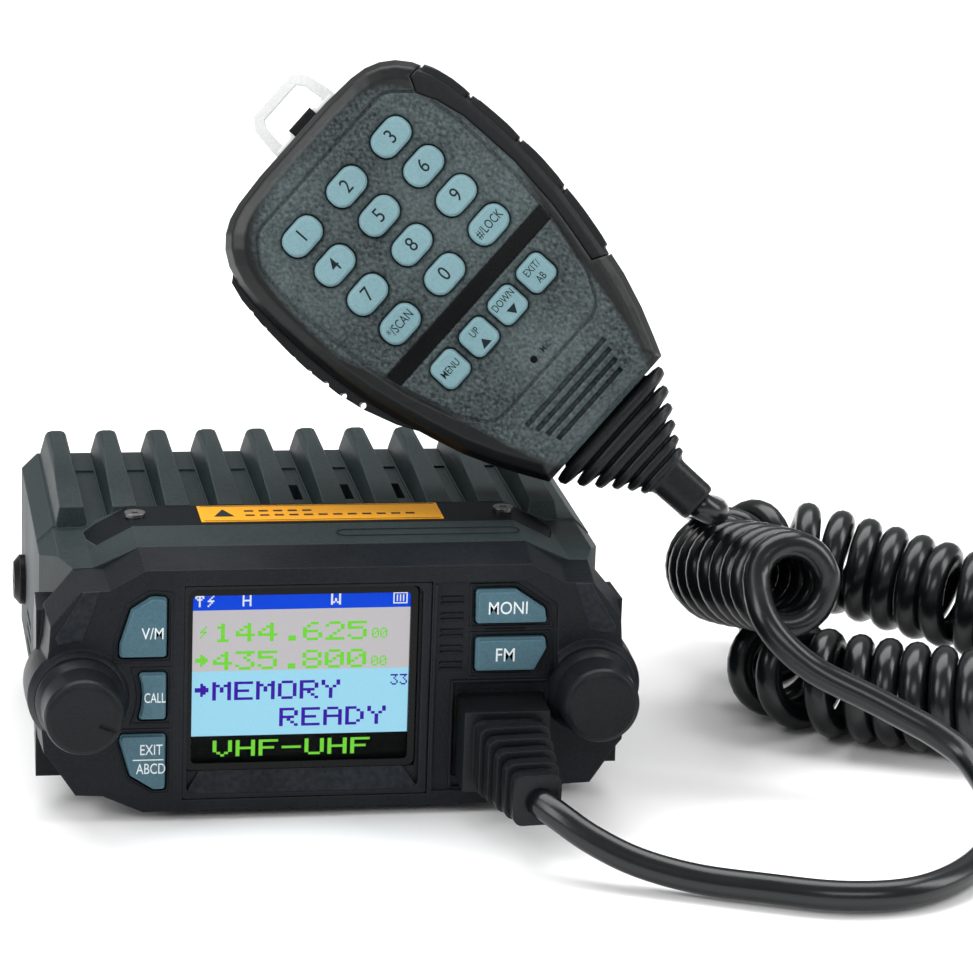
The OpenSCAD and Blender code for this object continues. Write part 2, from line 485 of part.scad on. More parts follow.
module mic_back() {
  mic_place() color([0.1, 0.11, 0.11]) difference() {
    union() { mic_lower(); translate([hang_x - 2.6, 20, -17]) cube([5.2, 5.2, 3]); }
    difference() {
      translate([0, 0, -mic_t + 2.4]) linear_extrude(height = 14) intersection() { mic_outline(-6.5); translate([-30, -40]) square([60, 62]); }
      lever_wall();
    }
    lever_room();
    grip_room();
    translate([pivot[0], pivot[1], -16.8]) cylinder(r = 1.03, h = 8, $fn = 32);
    cyl_x(23.9, -15.5, 0.95, -10, 20, 32);
    for (p = mic_screw_uv) translate([p[0], p[1], -30]) { cylinder(r = 1.3, h = 25, $fn = 24); cylinder(r = 2.5, h = 10.9, $fn = 32); }
    translate([0, -46.5, -10.5]) rotate([-90, 0, 0]) scale([1, 0.56, 1]) cylinder(r = 10.2, h = 6, $fn = 48);
  }
  // screw posts up to the board
  mic_place() color([0.1, 0.11, 0.11]) for (p = mic_screw_uv) translate([p[0], p[1], -20.4]) difference() {
    intersection() { cylinder(r = 3.5, h = 12.8, $fn = 32); translate([-p[0], -p[1], -1]) linear_extrude(height = 15) mic_outline(-2.7); }
    translate([0, 0, -1]) cylinder(r = 2.5, h = 2.3, $fn = 32);
    translate([0, 0, -1]) cylinder(r = 1.3, h = 15, $fn = 24);
  }
}
module mic_grip() {
  mic_place() color([0.07, 0.07, 0.08]) intersection() {
    translate([0, 0, -14]) linear_extrude(height = 13.6) polygon(grip_2d);
    union() { mic_upper(); mic_lower(); }
  }
}
module ptt_lever() {
  mic_place() color([0.07, 0.07, 0.08]) difference() {
    union() {
      translate([0, 0, -13.9]) linear_extrude(height = 9.8) difference() {
        polygon(concat(lever_out, lever_in));
        // finger ribs
        for (k = [0:7]) translate([[-26, -26.5, -26.9, -27, -26.9, -26.5, -25.9, -24.9][k], 9 - 3.4 * k]) circle(r = 0.6, $fn = 16);
      }
      translate([pivot[0], pivot[1], -13.9]) cylinder(r = 2.1, h = 9.8, $fn = 32);
    }
    translate([pivot[0], pivot[1], -16]) cylinder(r = 1.06, h = 16, $fn = 32);
  }
}
module mic_key(x, y, w, h, r) {
  mic_place() translate([x, y, 0]) color([0.6, 0.75, 0.8]) {
    translate([0, 0, -2.5]) linear_extrude(height = 2.8) oval(w, h, r);
    translate([0, 0, 0.29]) linear_extrude(height = 0.5) oval(w - 0.5, h - 0.5, r - 0.25);
    translate([0, 0, -3.3]) linear_extrude(height = 0.9) oval(w + 1, min(h + 1, 6.2), r + 0.4);
    translate([0, 0, -4.9]) cylinder(r = 1.1, h = 1.8, $fn = 24);
  }
}
module num_key(c, r) { mic_key(kx(c), ky(r), 7.2, 4.9, 2.2); }
module fn_key(i) { mic_key(fn_x[i], fn_y, 5.5, 5.4, 1.4); }
module mic_key_1() { num_key(0, 0); }
module mic_key_2() { num_key(1, 0); }
module mic_key_3() { num_key(2, 0); }
module mic_key_4() { num_key(0, 1); }
module mic_key_5() { num_key(1, 1); }
module mic_key_6() { num_key(2, 1); }
module mic_key_7() { num_key(0, 2); }
module mic_key_8() { num_key(1, 2); }
module mic_key_9() { num_key(2, 2); }
module mic_key_star() { num_key(0, 3); }
module mic_key_0() { num_key(1, 3); }
module mic_key_hash() { num_key(2, 3); }
module mic_fn_1() { fn_key(0); }
module mic_fn_2() { fn_key(1); }
module mic_fn_3() { fn_key(2); }
module mic_fn_4() { fn_key(3); }
module mic_hanger() {
  mic_place() color([0.85, 0.86, 0.86]) {
    translate([hang_x, 0, -16.3]) linear_extrude(height = 1.6) difference() {
      polygon(mirrored([[4.8, 31.2], [6.4, 29.4], [7.1, 25], [7.1, 23.3]]));
      polygon(mirrored([[3.9, 29.5], [4.7, 28.4], [5.1, 25], [5.1, 23]]));
    }
    cyl_x(23.9, -15.5, 0.9, hang_x - 6.5, hang_x + 6.5, 32);
  }
}
module mic_boot() {
  mic_place() color([0.07, 0.07, 0.08]) translate([0, 0, -10.5]) rotate([90, 0, 0]) {
    translate([0, 0, 43.6]) scale([1, 0.56, 1]) cylinder(r = 10, h = 6, $fn = 48);
    ribs = [[46.4, 2.3, 12.6, 7.2], [49.1, 1.9, 10.5, 6.8], [51.4, 1.7, 8.8, 6.2], [53.5, 1.6, 7.0, 5.6], [55.5, 1.4, 5.6, 5.0], [57.3, 1.2, 4.4, 4.3]];
    for (r = ribs) translate([0, 0, r[0]]) scale([r[2], r[3], 1]) cylinder(r = 1, h = r[1], $fn = 48);
    translate([0, 0, 46]) scale([1, 0.72, 1]) cylinder(r1 = 9.6, r2 = 3.5, h = 12.4, $fn = 48);
    translate([0, 0, 57.5]) cylinder(r = 3.5, h = 9.5, $fn = 48);
  }
}
module mic_pcb() {
  mic_place() color([0.1, 0.38, 0.22]) {
    translate([0, 0, -7.6]) linear_extrude(height = 1.6) difference() {
      intersection() { mic_outline(-4.6); translate([-17.2, -40]) square([36, 62]); }
      lever_space(1.8);
      for (p = mic_screw_uv) translate(p) circle(r = 1.4, $fn = 24);
    }
    for (r = [0:3], c = [0:2]) translate([kx(c), ky(r), -6.1]) cylinder(r = 2, h = 0.35, $fn = 24);
    for (x = fn_x) translate([x, fn_y, -6.1]) cylinder(r = 2, h = 0.35, $fn = 24);
    translate([-16.8, -4, -11.5]) cube([4.6, 7, 4]);
  }
}
module mic_capsule() { mic_place() color([0.7, 0.7, 0.7]) translate([-0.7, -30.8, -5.9]) cylinder(r = 3, h = 3.2, $fn = 40); }
module mic_screws() {
  mic_place() color([0.5, 0.5, 0.5]) for (p = mic_screw_uv) translate([p[0], p[1], 0]) difference() {
    union() { translate([0, 0, -19.5]) cylinder(r = 1.08, h = 15.7, $fn = 24); translate([0, 0, -20.8]) cylinder(r = 2.3, h = 1.7, $fn = 32); }
    translate([0, 0, -22]) cylinder(r = 0.9, h = 2, $fn = 6);
  }
}

// ---------- plug and cord ----------
module plug_body() {
  color([0.75, 0.8, 0.82, 0.7]) {
    box(jack_x - 5.85, jack_x + 5.85, -40, -23, jack_z - 3.3, jack_z + 3.3);
    box(jack_x - 2.9, jack_x + 2.9, -38, -27, jack_z - 5.2, jack_z - 3.2);
  }
}
module plug_boot() {
  color([0.08, 0.08, 0.09]) difference() {
    union() {
      box(jack_x - 6.9, jack_x + 6.9, -43, -34.9, jack_z - 6.7, jack_z + 6.7);
      for (k = [0:4]) let (t = k / 4)
        translate([jack_x + 0.5 + 1.7 * t, -46 - 2.9 * k, jack_z - 0.3 - 2.1 * t]) rotate([90, 0, 5]) linear_extrude(height = 2.3, center = true)
          oval(11.6 - 3.9 * t, 11.8 - 3.6 * t, 1.6);
      hull() {
        translate([jack_x, -43, jack_z - 0.1]) rotate([90, 0, 0]) linear_extrude(height = 0.1) oval(10.6, 10.8, 1.5);
        translate([jack_x + 2.4, -58.4, jack_z - 2.5]) rotate([90, 0, 0]) linear_extrude(height = 0.1) oval(6.6, 6.8, 1.5);
      }
    }
    box(jack_x - 5.9, jack_x + 5.9, -40.1, -34, jack_z - 3.35, jack_z + 3.35);
    box(jack_x - 3, jack_x + 3, -38.1, -34, jack_z - 5.4, jack_z);
  }
}

// A round tube swept along a list of [x, y, z, radius] stations.
function unit(v) = v / norm(v);
function tangent(p, i) = unit([for (k = [0:2]) p[min(i + 1, len(p) - 1)][k] - p[max(i - 1, 0)][k]]);
function side_of(t) = unit(abs(t[2]) < 0.9 ? cross([0, 0, 1], t) : cross([1, 0, 0], t));
module sweep(p, n = 12) {
  m = len(p);
  pts = [for (i = [0:m - 1]) let (t = tangent(p, i), a = side_of(t), b = cross(t, a), c = [p[i][0], p[i][1], p[i][2]])
    for (k = [0:n - 1]) c + p[i][3] * (cos(360 * k / n) * a + sin(360 * k / n) * b)];
  walls = [for (i = [0:m - 2], k = [0:n - 1]) let (a = i * n + k, b = i * n + (k + 1) % n) each [[a, b, a + n], [b, b + n, a + n]]];
  polyhedron(points = pts, faces = concat([[for (k = [n - 1:-1:0]) k]], [[for (k = [0:n - 1]) (m - 1) * n + k]], walls), convexity = 12);
}
// Catmull-Rom curve through hand-picked stations
function cr(a, b, c, d, t) = 0.5 * (2 * b + (c - a) * t + (2 * a - 5 * b + 4 * c - d) * t * t + (3 * b - a - 3 * c + d) * t * t * t);
function smooth(p, n) = let (m = len(p)) [for (i = [0:m - 2]) for (k = [0:n - 1])
  cr(p[max(i - 1, 0)], p[i], p[i + 1], p[min(i + 2, m - 1)], k / n), p[m - 1]];
function with_r(p, r) = [for (q = p) [q[0], q[1], q[2], r]];

// from the plug round the floor in front of the radio and up to the near end of the curl
lead_pts = [[28.9, -58.4, 10.2], [31.5, -62, 9], [36, -66, 6.6], [42.5, -70, 4.2], [51, -74, 2.8], [61, -78.5, 2.7], [72, -82.5, 2.7],
  [83, -82, 2.7], [93, -75.5, 2.8], [101, -65, 3.4], [104.4, -54, 5.8], [103, -44, 9.4], [98.8, -39, 12.2], [93.9, -36, 14.5], [88.6, -33.5, 16.9], [83.8, -31.6, 18.9],
  [79.5, -30, 20.9], [75.8, -28.6, 23.7], [73, -26.8, 26.7], [71.4, -24.4, 29.8], [71.1, -21.6, 32.7]];
lr = cord_d / 2;
// the curl starts above the floor beside the radio, doubles back behind itself to the right,
// turns and comes back along the floor; a plain end rises from there to the microphone
curl_pts = [[78, -19, 32], [77.2, -11, 30.2], [75.7, -2.5, 28.4], [74.4, 6, 26.2], [74.2, 16, 23.6], [76, 25, 22], [81, 32, 21.4], [88, 34.5, 21.2],
  [94.5, 32.5, 20.8], [101, 29, 19.8], [108, 25, 18.4], [114, 21, 17.4], [120, 16.4, 16.6], [129, 12, 14], [137, 7.5, 12.2], [142.5, 0, 10.5], [143, -9, 9.6],
  [139, -17, 9.4], [132, -21.5, 9.4], [124, -21.5, 9.4], [116, -18.5, 9.4], [109, -15, 9.4], [103.5, -12.3, 9.4], [97.8, -9.2, 9.4], [91.5, -5.8, 9.4],
  [86, -1, 9.4], [82.8, 6, 9.4], [81.8, 13, 9.4]];
end_pts = [[81.7, 13, 9.4], [82.3, 19, 8.6], [84, 29, 5], [86.2, 39, 4.2], [87, 46.5, 8.5], [85.5, 49.5, 15.5], [81.5, 49, 21], [77, 45.5, 25], [73.4, 39.5, 28.2], [71.2, 30.5, 31.3],
  [69.6, 20, 34.2], [68.3, 10, 37.1], [67.5, 0, 39.8], [66.8, -8, 41.9], [65.5, -12.8, 43], [63, -13.8, 44.4], [62.1, -13.5, 45.2]];
module cord_lead() { color([0.06, 0.06, 0.07]) sweep(with_r(smooth(lead_pts, 3), lr), 10); }
module cord_coil() { color([0.06, 0.06, 0.07]) sweep(with_r(curl_pts, coil_d / 2), 16); }
module cord_end() {
  color([0.06, 0.06, 0.07]) difference() {
    sweep(with_r(smooth(end_pts, 3), lr), 10);
    // cut square against the end of the microphone's sleeve
    mic_place() translate([0, -67.06, -10.5]) rotate([-90, 0, 0]) cylinder(r = 7, h = 7, $fn = 32);
  }
}

chassis();
bottom_cover();
top_plate();
top_label();
plate_screws();
cover_screws();
side_screws();
front_bezel();
display_lens();
lcd_module();
key_vm();
key_call();
key_exit();
key_moni();
key_fm();
knob_left();
knob_right();
shaft_left();
shaft_right();
pot_left();
encoder_right();
mic_jack();
front_pcb();
main_pcb();
speaker();
fan_frame();
fan_rotor();
antenna_socket();
dc_socket();
speaker_jack();
mic_front();
mic_back();
mic_grip();
ptt_lever();
mic_key_1();
mic_key_2();
mic_key_3();
mic_key_4();
mic_key_5();
mic_key_6();
mic_key_7();
mic_key_8();
mic_key_9();
mic_key_star();
mic_key_0();
mic_key_hash();
mic_fn_1();
mic_fn_2();
mic_fn_3();
mic_fn_4();
mic_hanger();
mic_boot();
mic_pcb();
mic_capsule();
mic_screws();
plug_boot();
plug_body();
cord_lead();
cord_coil();
cord_end();
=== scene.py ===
"""Looks of a mobile transceiver: two-knob radio, hand microphone and curly cord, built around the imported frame.

Points are in millimetres until add_mesh or bevelled turns them into metres.
"""
import math

import bpy
import bmesh
import numpy as np
from mathutils import Matrix, Vector


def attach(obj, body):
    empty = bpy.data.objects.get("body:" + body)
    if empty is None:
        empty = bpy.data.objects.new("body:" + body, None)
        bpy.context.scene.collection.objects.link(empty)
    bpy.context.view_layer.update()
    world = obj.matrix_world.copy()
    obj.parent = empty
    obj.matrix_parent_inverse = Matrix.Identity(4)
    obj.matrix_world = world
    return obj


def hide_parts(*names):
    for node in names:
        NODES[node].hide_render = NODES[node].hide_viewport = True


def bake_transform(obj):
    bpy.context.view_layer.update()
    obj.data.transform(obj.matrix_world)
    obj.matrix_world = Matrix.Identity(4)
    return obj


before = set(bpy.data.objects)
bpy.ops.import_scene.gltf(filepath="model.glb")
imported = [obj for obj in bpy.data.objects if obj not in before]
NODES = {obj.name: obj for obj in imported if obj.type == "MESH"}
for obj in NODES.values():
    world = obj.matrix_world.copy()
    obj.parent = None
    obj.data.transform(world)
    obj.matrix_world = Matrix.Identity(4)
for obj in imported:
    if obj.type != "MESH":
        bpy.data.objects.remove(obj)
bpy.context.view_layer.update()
MM = 0.001
FACE_Y = -36  # the front panel's plane
TOP_Z = 43  # the radio's top
MIC_AT = (12.3, -2.7, 88.7)
MIC_TURN = (65.3, -47.6, 8.6)

# ---------------------------------------------------------------- camera
camera_data = bpy.data.cameras.new("camera")
camera_data.lens = 148
camera_data.sensor_width = 36
camera_data.clip_start = 0.05
camera = bpy.data.objects.new("camera", camera_data)
camera.matrix_world = Matrix((
    (0.98555, 0.01409, -0.16877, -0.083745),
    (-0.16581, 0.28326, -0.94460, -0.632837),
    (0.03449, 0.95894, 0.28150, 0.232734),
    (0, 0, 0, 1)))
bpy.context.scene.collection.objects.link(camera)
bpy.context.scene.camera = camera


# ---------------------------------------------------------------- materials
def new_material(name):
    m = bpy.data.materials.new(name)
    m.use_nodes = True
    return m, m.node_tree.nodes, m.node_tree.links, m.node_tree.nodes["Principled BSDF"]


def rgba(c):
    return (c[0], c[1], c[2], 1)


def material(name, dark, light, rough=0.5, grain=1500, depth=0.05, metallic=0.0, spread=0.12, bevel=0.25,
             cells=0.0, edge_wear_and_highlight=0.0, specular=0.13, patch=60, rim=None):
    """A moulded or painted surface: colour mottled from dark to light, grain as bump, soft edges, and edges painted
    lighter, partly as edge wear and partly as a painted highlight.

    rim is the colour of the microphone's smooth border, outside an oval on its face.
    """
    m, nodes, links, shader = new_material(name)
    shader.inputs["Metallic"].default_value = metallic
    shader.inputs["Specular IOR Level"].default_value = specular
    where = nodes.new("ShaderNodeTexCoord")
    fine = nodes.new("ShaderNodeTexNoise")
    fine.inputs["Scale"].default_value = grain
    fine.inputs["Detail"].default_value = 3
    links.new(where.outputs["Object"], fine.inputs["Vector"])
    broad = nodes.new("ShaderNodeTexNoise")
    broad.inputs["Scale"].default_value = patch
    broad.inputs["Detail"].default_value = 4
    links.new(where.outputs["Object"], broad.inputs["Vector"])
    both = nodes.new("ShaderNodeMath")
    both.operation = "MULTIPLY_ADD"
    both.inputs[1].default_value = 0.5
    links.new(fine.outputs["Fac"], both.inputs[0])
    half = nodes.new("ShaderNodeMath")
    half.operation = "MULTIPLY"
    half.inputs[1].default_value = 0.5
    links.new(broad.outputs["Fac"], half.inputs[0])
    links.new(half.outputs[0], both.inputs[2])
    ramp = nodes.new("ShaderNodeValToRGB")
    ramp.color_ramp.elements[0].position = 0.36
    ramp.color_ramp.elements[0].color = rgba(dark)
    ramp.color_ramp.elements[1].position = 0.64
    ramp.color_ramp.elements[1].color = rgba(light)
    links.new(both.outputs[0], ramp.inputs["Fac"])
    colour = ramp.outputs["Color"]
    if rim:
        local = nodes.new("ShaderNodeMapping")
        local.vector_type = "TEXTURE"
        local.inputs["Location"].default_value = [MM * c for c in MIC_AT]
        local.inputs["Rotation"].default_value = [math.radians(c) for c in MIC_TURN]
        links.new(where.outputs["Object"], local.inputs["Vector"])
        away = nodes.new("ShaderNodeVectorMath")
        away.operation = "MULTIPLY_ADD"
        away.inputs[1].default_value = (1 / (MM * 20.9), 1 / (MM * 34.0), 0)
        away.inputs[2].default_value = (0, 15.3 / 34.0, 0)
        links.new(local.outputs["Vector"], away.inputs[0])
        parts = nodes.new("ShaderNodeSeparateXYZ")
        links.new(away.outputs["Vector"], parts.inputs[0])
        narrow = nodes.new("ShaderNodeMapRange")
        narrow.inputs["From Min"].default_value = 0.25
        narrow.inputs["From Max"].default_value = -0.85
        narrow.inputs["To Min"].default_value = 1.0
        narrow.inputs["To Max"].default_value = 1.62
        links.new(parts.outputs["Y"], narrow.inputs["Value"])
        across = nodes.new("ShaderNodeMath")
        across.operation = "MULTIPLY"
        links.new(parts.outputs["X"], across.inputs[0])
        links.new(narrow.outputs["Result"], across.inputs[1])
        fourth = []
        for source in (across.outputs[0], parts.outputs["Y"]):
            size = nodes.new("ShaderNodeMath")
            size.operation = "ABSOLUTE"
            links.new(source, size.inputs[0])
            power = nodes.new("ShaderNodeMath")
            power.operation = "POWER"
            power.inputs[1].default_value = 4
            links.new(size.outputs[0], power.inputs[0])
            fourth.append(power)
        total = nodes.new("ShaderNodeMath")
        links.new(fourth[0].outputs[0], total.inputs[0])
        links.new(fourth[1].outputs[0], total.inputs[1])
        edge = nodes.new("ShaderNodeMapRange")
        edge.inputs["From Min"].default_value = 1.0
        edge.inputs["From Max"].default_value = 1.25
        links.new(total.outputs[0], edge.inputs["Value"])
        darker = nodes.new("ShaderNodeMix")
        darker.data_type = "RGBA"
        darker.inputs["B"].default_value = rgba(rim)
        links.new(edge.outputs["Result"], darker.inputs["Factor"])
        links.new(colour, darker.inputs["A"])
        colour = darker.outputs["Result"]
    soft = None
    if bevel:
        soft = nodes.new("ShaderNodeBevel")
        soft.samples = 6
        soft.inputs["Radius"].default_value = bevel * MM
    # edges lighter in colour wherever the bevel bends the normal: partly edge wear, partly a painted highlight standing
    # in for light caught by the edges
    if edge_wear_and_highlight:
        geometry = nodes.new("ShaderNodeNewGeometry")
        turn = nodes.new("ShaderNodeVectorMath")
        turn.operation = "DOT_PRODUCT"
        links.new(soft.outputs["Normal"], turn.inputs[0])
        links.new(geometry.outputs["Normal"], turn.inputs[1])
        wear_and_highlight_mask = nodes.new("ShaderNodeMapRange")
        wear_and_highlight_mask.inputs["From Min"].default_value = 0.995
        wear_and_highlight_mask.inputs["From Max"].default_value = 0.93
        wear_and_highlight_mask.inputs["To Max"].default_value = edge_wear_and_highlight
        links.new(turn.outputs["Value"], wear_and_highlight_mask.inputs["Value"])
        rub_and_highlight = nodes.new("ShaderNodeMix")
        rub_and_highlight.data_type = "RGBA"
        rub_and_highlight.inputs["B"].default_value = rgba([min(1, 2.6 * c + 0.03) for c in light])
        links.new(wear_and_highlight_mask.outputs["Result"], rub_and_highlight.inputs["Factor"])
        links.new(colour, rub_and_highlight.inputs["A"])
        colour = rub_and_highlight.outputs["Result"]
    links.new(colour, shader.inputs["Base Color"])
    rougher = nodes.new("ShaderNodeMapRange")
    rougher.inputs["To Min"].default_value = rough - spread
    rougher.inputs["To Max"].default_value = rough + spread
    links.new(broad.outputs["Fac"], rougher.inputs["Value"])
    links.new(rougher.outputs["Result"], shader.inputs["Roughness"])
    height = fine.outputs["Fac"]
    if cells:
        stone = nodes.new("ShaderNodeTexVoronoi")
        stone.feature = "SMOOTH_F1"
        stone.inputs["Scale"].default_value = cells
        links.new(where.outputs["Object"], stone.inputs["Vector"])
        mixed = nodes.new("ShaderNodeMath")
        mixed.operation = "MULTIPLY_ADD"
        mixed.inputs[1].default_value = 0.35
        links.new(fine.outputs["Fac"], mixed.inputs[0])
        links.new(stone.outputs["Distance"], mixed.inputs[2])
        height = mixed.outputs[0]
    bump = nodes.new("ShaderNodeBump")
    bump.inputs["Strength"].default_value = 0.6
    if rim:
        calm = nodes.new("ShaderNodeMapRange")
        calm.inputs["To Min"].default_value = 0.9
        calm.inputs["To Max"].default_value = 0.08
        links.new(edge.outputs["Result"], calm.inputs["Value"])
        links.new(calm.outputs["Result"], bump.inputs["Strength"])
    bump.inputs["Distance"].default_value = depth * MM
    links.new(height, bump.inputs["Height"])
    if soft:
        links.new(soft.outputs["Normal"], bump.inputs["Normal"])
    links.new(bump.outputs["Normal"], shader.inputs["Normal"])
    return m


MAT = {
    "cast": material("cast_paint", (0.013, 0.020, 0.021), (0.026, 0.037, 0.038), 0.5, 1800, 0.05, edge_wear_and_highlight=0.3, bevel=0.4),
    "cover": material("cover_paint", (0.012, 0.018, 0.019), (0.022, 0.031, 0.032), 0.5, 1800, 0.05, edge_wear_and_highlight=0.2,
                      bevel=0.4),
    "trim": material("trim_plate", (0.003, 0.004, 0.005), (0.007, 0.009, 0.011), 0.5, 2600, 0.02, edge_wear_and_highlight=0.35,
                     specular=0.06),
    "label": material("label_foil", (0.72, 0.30, 0.008), (0.84, 0.38, 0.016), 0.45, 3000, 0.01, bevel=0),
    "steel": material("screw_steel", (0.10, 0.10, 0.10), (0.22, 0.22, 0.22), 0.34, 3000, 0.02, metallic=1.0),
    "blacksteel": material("black_oxide", (0.006, 0.006, 0.007), (0.014, 0.014, 0.014), 0.38, 3000, 0.02,
                           metallic=0.4, edge_wear_and_highlight=0.4),
    "panel": material("panel_plastic", (0.0040, 0.0052, 0.0070), (0.0105, 0.0130, 0.0165), 0.38, 2200, 0.1,
                      bevel=0.5, edge_wear_and_highlight=0.12),
    "inset": material("panel_inset", (0.0060, 0.0075, 0.0095), (0.020, 0.024, 0.030), 0.5, 1100, 0.2, bevel=0.2,
                      edge_wear_and_highlight=0.2),
    "key": material("panel_key", (0.050, 0.110, 0.142), (0.075, 0.150, 0.188), 0.42, 2600, 0.03, bevel=0.5, edge_wear_and_highlight=0.16),
    "knob": material("knob_plastic", (0.0050, 0.0058, 0.0070), (0.0110, 0.0125, 0.0150), 0.36, 2800, 0.03, bevel=0.5),
    "shaft": material("shaft_metal", (0.35, 0.35, 0.33), (0.6, 0.6, 0.58), 0.3, 3000, 0.01, metallic=1.0),
    "black": material("socket_plastic", (0.004, 0.004, 0.004), (0.008, 0.008, 0.008), 0.45, 2400, 0.03),
    "board": material("board_green", (0.008, 0.07, 0.03), (0.015, 0.12, 0.05), 0.35, 1400, 0.03),
    "cone": material("speaker_cone", (0.01, 0.01, 0.01), (0.03, 0.03, 0.028), 0.7, 900, 0.1),
    "nickel": material("connector_nickel", (0.55, 0.55, 0.5), (0.75, 0.74, 0.68), 0.22, 3000, 0.01, metallic=1.0),
    "shell": material("mic_shell", (0.007, 0.011, 0.012), (0.078, 0.106, 0.110), 0.32, 1700, 0.2, cells=1500,
                      bevel=0.9, rim=(0.0040, 0.0050, 0.0055), specular=0.3),
    "rear": material("mic_rear", (0.004, 0.0048, 0.0054), (0.008, 0.0095, 0.0105), 0.36, 1800, 0.06, bevel=0.9),
    "rubber": material("mic_rubber", (0.0035, 0.0042, 0.0048), (0.0075, 0.009, 0.010), 0.4, 2000, 0.04, bevel=0.5,
                       specular=0.2),
    "gloss": material("band_gloss", (0.002, 0.0022, 0.0026), (0.004, 0.0044, 0.005), 0.22, 2600, 0.01, bevel=0.2),
    "mickey": material("mic_key", (0.155, 0.270, 0.300), (0.200, 0.330, 0.360), 0.38, 2600, 0.02, bevel=0.6, edge_wear_and_highlight=0.12),
    "hanger": material("hanger_white", (0.7, 0.71, 0.71), (0.85, 0.86, 0.86), 0.35, 2600, 0.02),
    "capsule": material("capsule_metal", (0.5, 0.5, 0.5), (0.7, 0.7, 0.7), 0.35, 2600, 0.02, metallic=1.0),
    "boot": material("boot_rubber", (0.0045, 0.0055, 0.0062), (0.010, 0.012, 0.0135), 0.36, 2000, 0.04, bevel=0.3,
                     specular=0.2),
    "cord": material("cord_jacket", (0.0030, 0.0040, 0.0048), (0.0060, 0.0076, 0.0090), 0.25, 1800, 0.012, bevel=0,
                     spread=0.05, specular=0.4),
    "ink_light": material("ink_light", (0.62, 0.68, 0.70), (0.74, 0.80, 0.82), 0.5, 4000, 0.005, bevel=0),
    "ink_dark": material("ink_dark", (0.006, 0.011, 0.016), (0.012, 0.019, 0.026), 0.5, 4000, 0.005, bevel=0),
}


def glass():
    m, nodes, links, shader = new_material("lens_glass")
    shader.inputs["Base Color"].default_value = (0.02, 0.02, 0.022, 1)
    shader.inputs["Roughness"].default_value = 0.06
    shader.inputs["IOR"].default_value = 1.05
    shader.inputs["Alpha"].default_value = 0.025
    shader.inputs["Specular IOR Level"].default_value = 0.1
    where = nodes.new("ShaderNodeTexCoord")
    haze = nodes.new("ShaderNodeTexNoise")
    haze.inputs["Scale"].default_value = 300
    links.new(where.outputs["Object"], haze.inputs["Vector"])
    spread = nodes.new("ShaderNodeMapRange")
    spread.inputs["To Min"].default_value = 0.03
    spread.inputs["To Max"].default_value = 0.1
    links.new(haze.outputs["Fac"], spread.inputs["Value"])
    links.new(spread.outputs["Result"], shader.inputs["Roughness"])
    return m


def lit(name, colour, glow=0.55):
    """A lit dot-matrix colour: emission broken up by the fine grid of the display's dots."""
    m, nodes, links, shader = new_material(name)
    shader.inputs["Roughness"].default_value = 0.35
    shader.inputs["Emission Strength"].default_value = glow
    where = nodes.new("ShaderNodeTexCoord")
    dots = nodes.new("ShaderNodeTexNoise")
    dots.inputs["Scale"].default_value = 5200
    dots.inputs["Detail"].default_value = 0
    links.new(where.outputs["Object"], dots.inputs["Vector"])
    ramp = nodes.new("ShaderNodeValToRGB")
    ramp.color_ramp.elements[0].color = rgba([0.9 * c for c in colour])
    ramp.color_ramp.elements[1].color = rgba([min(1, 1.04 * c) for c in colour])
    links.new(dots.outputs["Fac"], ramp.inputs["Fac"])
    shader.inputs["Base Color"].default_value = rgba([0.05 * c for c in colour])
    shader.inputs["Specular IOR Level"].default_value = 0.05
    links.new(ramp.outputs["Color"], shader.inputs["Emission Color"])
    return m


MAT["lens"] = glass()
MAT["display"] = lit("display_dark", (0.004, 0.006, 0.008), 0.1)
for key, colour, glow in (("lit_blue", (0.004, 0.07, 0.80), 0.9), ("lit_grey", (0.58, 0.56, 0.58), 0.95),
                          ("lit_sky", (0.36, 0.74, 0.93), 0.95),
                          ("lit_black", (0.002, 0.003, 0.003), 0.5), ("lit_green", (0.19, 0.72, 0.05), 0.95),
                          ("lit_violet", (0.05, 0.012, 0.42), 0.9), ("lit_white", (0.85, 0.9, 0.95), 0.9)):
    MAT[key] = lit("display_" + key, colour, glow)
MAT["clear"] = material("plug_clear", (0.6, 0.66, 0.7), (0.75, 0.8, 0.84), 0.2, 3000, 0.01, bevel=0)

BY_NODE = {
    "cast": "chassis", "cover": "bottom_cover", "trim": "top_plate", "label": "top_label",
    "steel": "plate_screws cover_screws mic_screws", "blacksteel": "side_screws", "panel": "front_bezel",
    "lens": "display_lens", "display": "lcd_module", "key": "key_vm key_call key_exit key_moni key_fm",
    "knob": "knob_left knob_right", "shaft": "shaft_left shaft_right pot_left encoder_right",
    "black": "mic_jack dc_socket fan_frame fan_rotor", "board": "front_pcb main_pcb mic_pcb", "cone": "speaker",
    "nickel": "antenna_socket speaker_jack", "shell": "mic_front", "rear": "mic_back",
    "rubber": "mic_grip ptt_lever", "boot": "mic_boot plug_boot", "hanger": "mic_hanger",
    "capsule": "mic_capsule", "clear": "plug_body", "cord": "cord_lead cord_coil cord_end",
}
for key, names in BY_NODE.items():
    for n in names.split():
        NODES[n].data.materials.clear()
        NODES[n].data.materials.append(MAT[key])
for n in sorted(NODES):
    if n.startswith("mic_key_") or n.startswith("mic_fn_"):
        NODES[n].data.materials.clear()
        NODES[n].data.materials.append(MAT["mickey"])


# ---------------------------------------------------------------- mesh helpers
def add_mesh(name, verts, faces, mat, body, smooth=True, place=None):
    """A piece from points in millimetres, moved by place, riding on a body."""
    mesh = bpy.data.meshes.new(name)
    mesh.from_pydata([tuple(MM * c for c in ((place @ Vector(v)) if place else v)) for v in verts], [], faces)
    mesh.validate()
    mesh.update()
    if smooth:
        mesh.shade_smooth()
    mesh.materials.append(MAT[mat] if isinstance(mat, str) else mat)
    o = bpy.data.objects.new(name, mesh)
    bpy.context.scene.collection.objects.link(o)
    if body:
        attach(o, body)
    return o


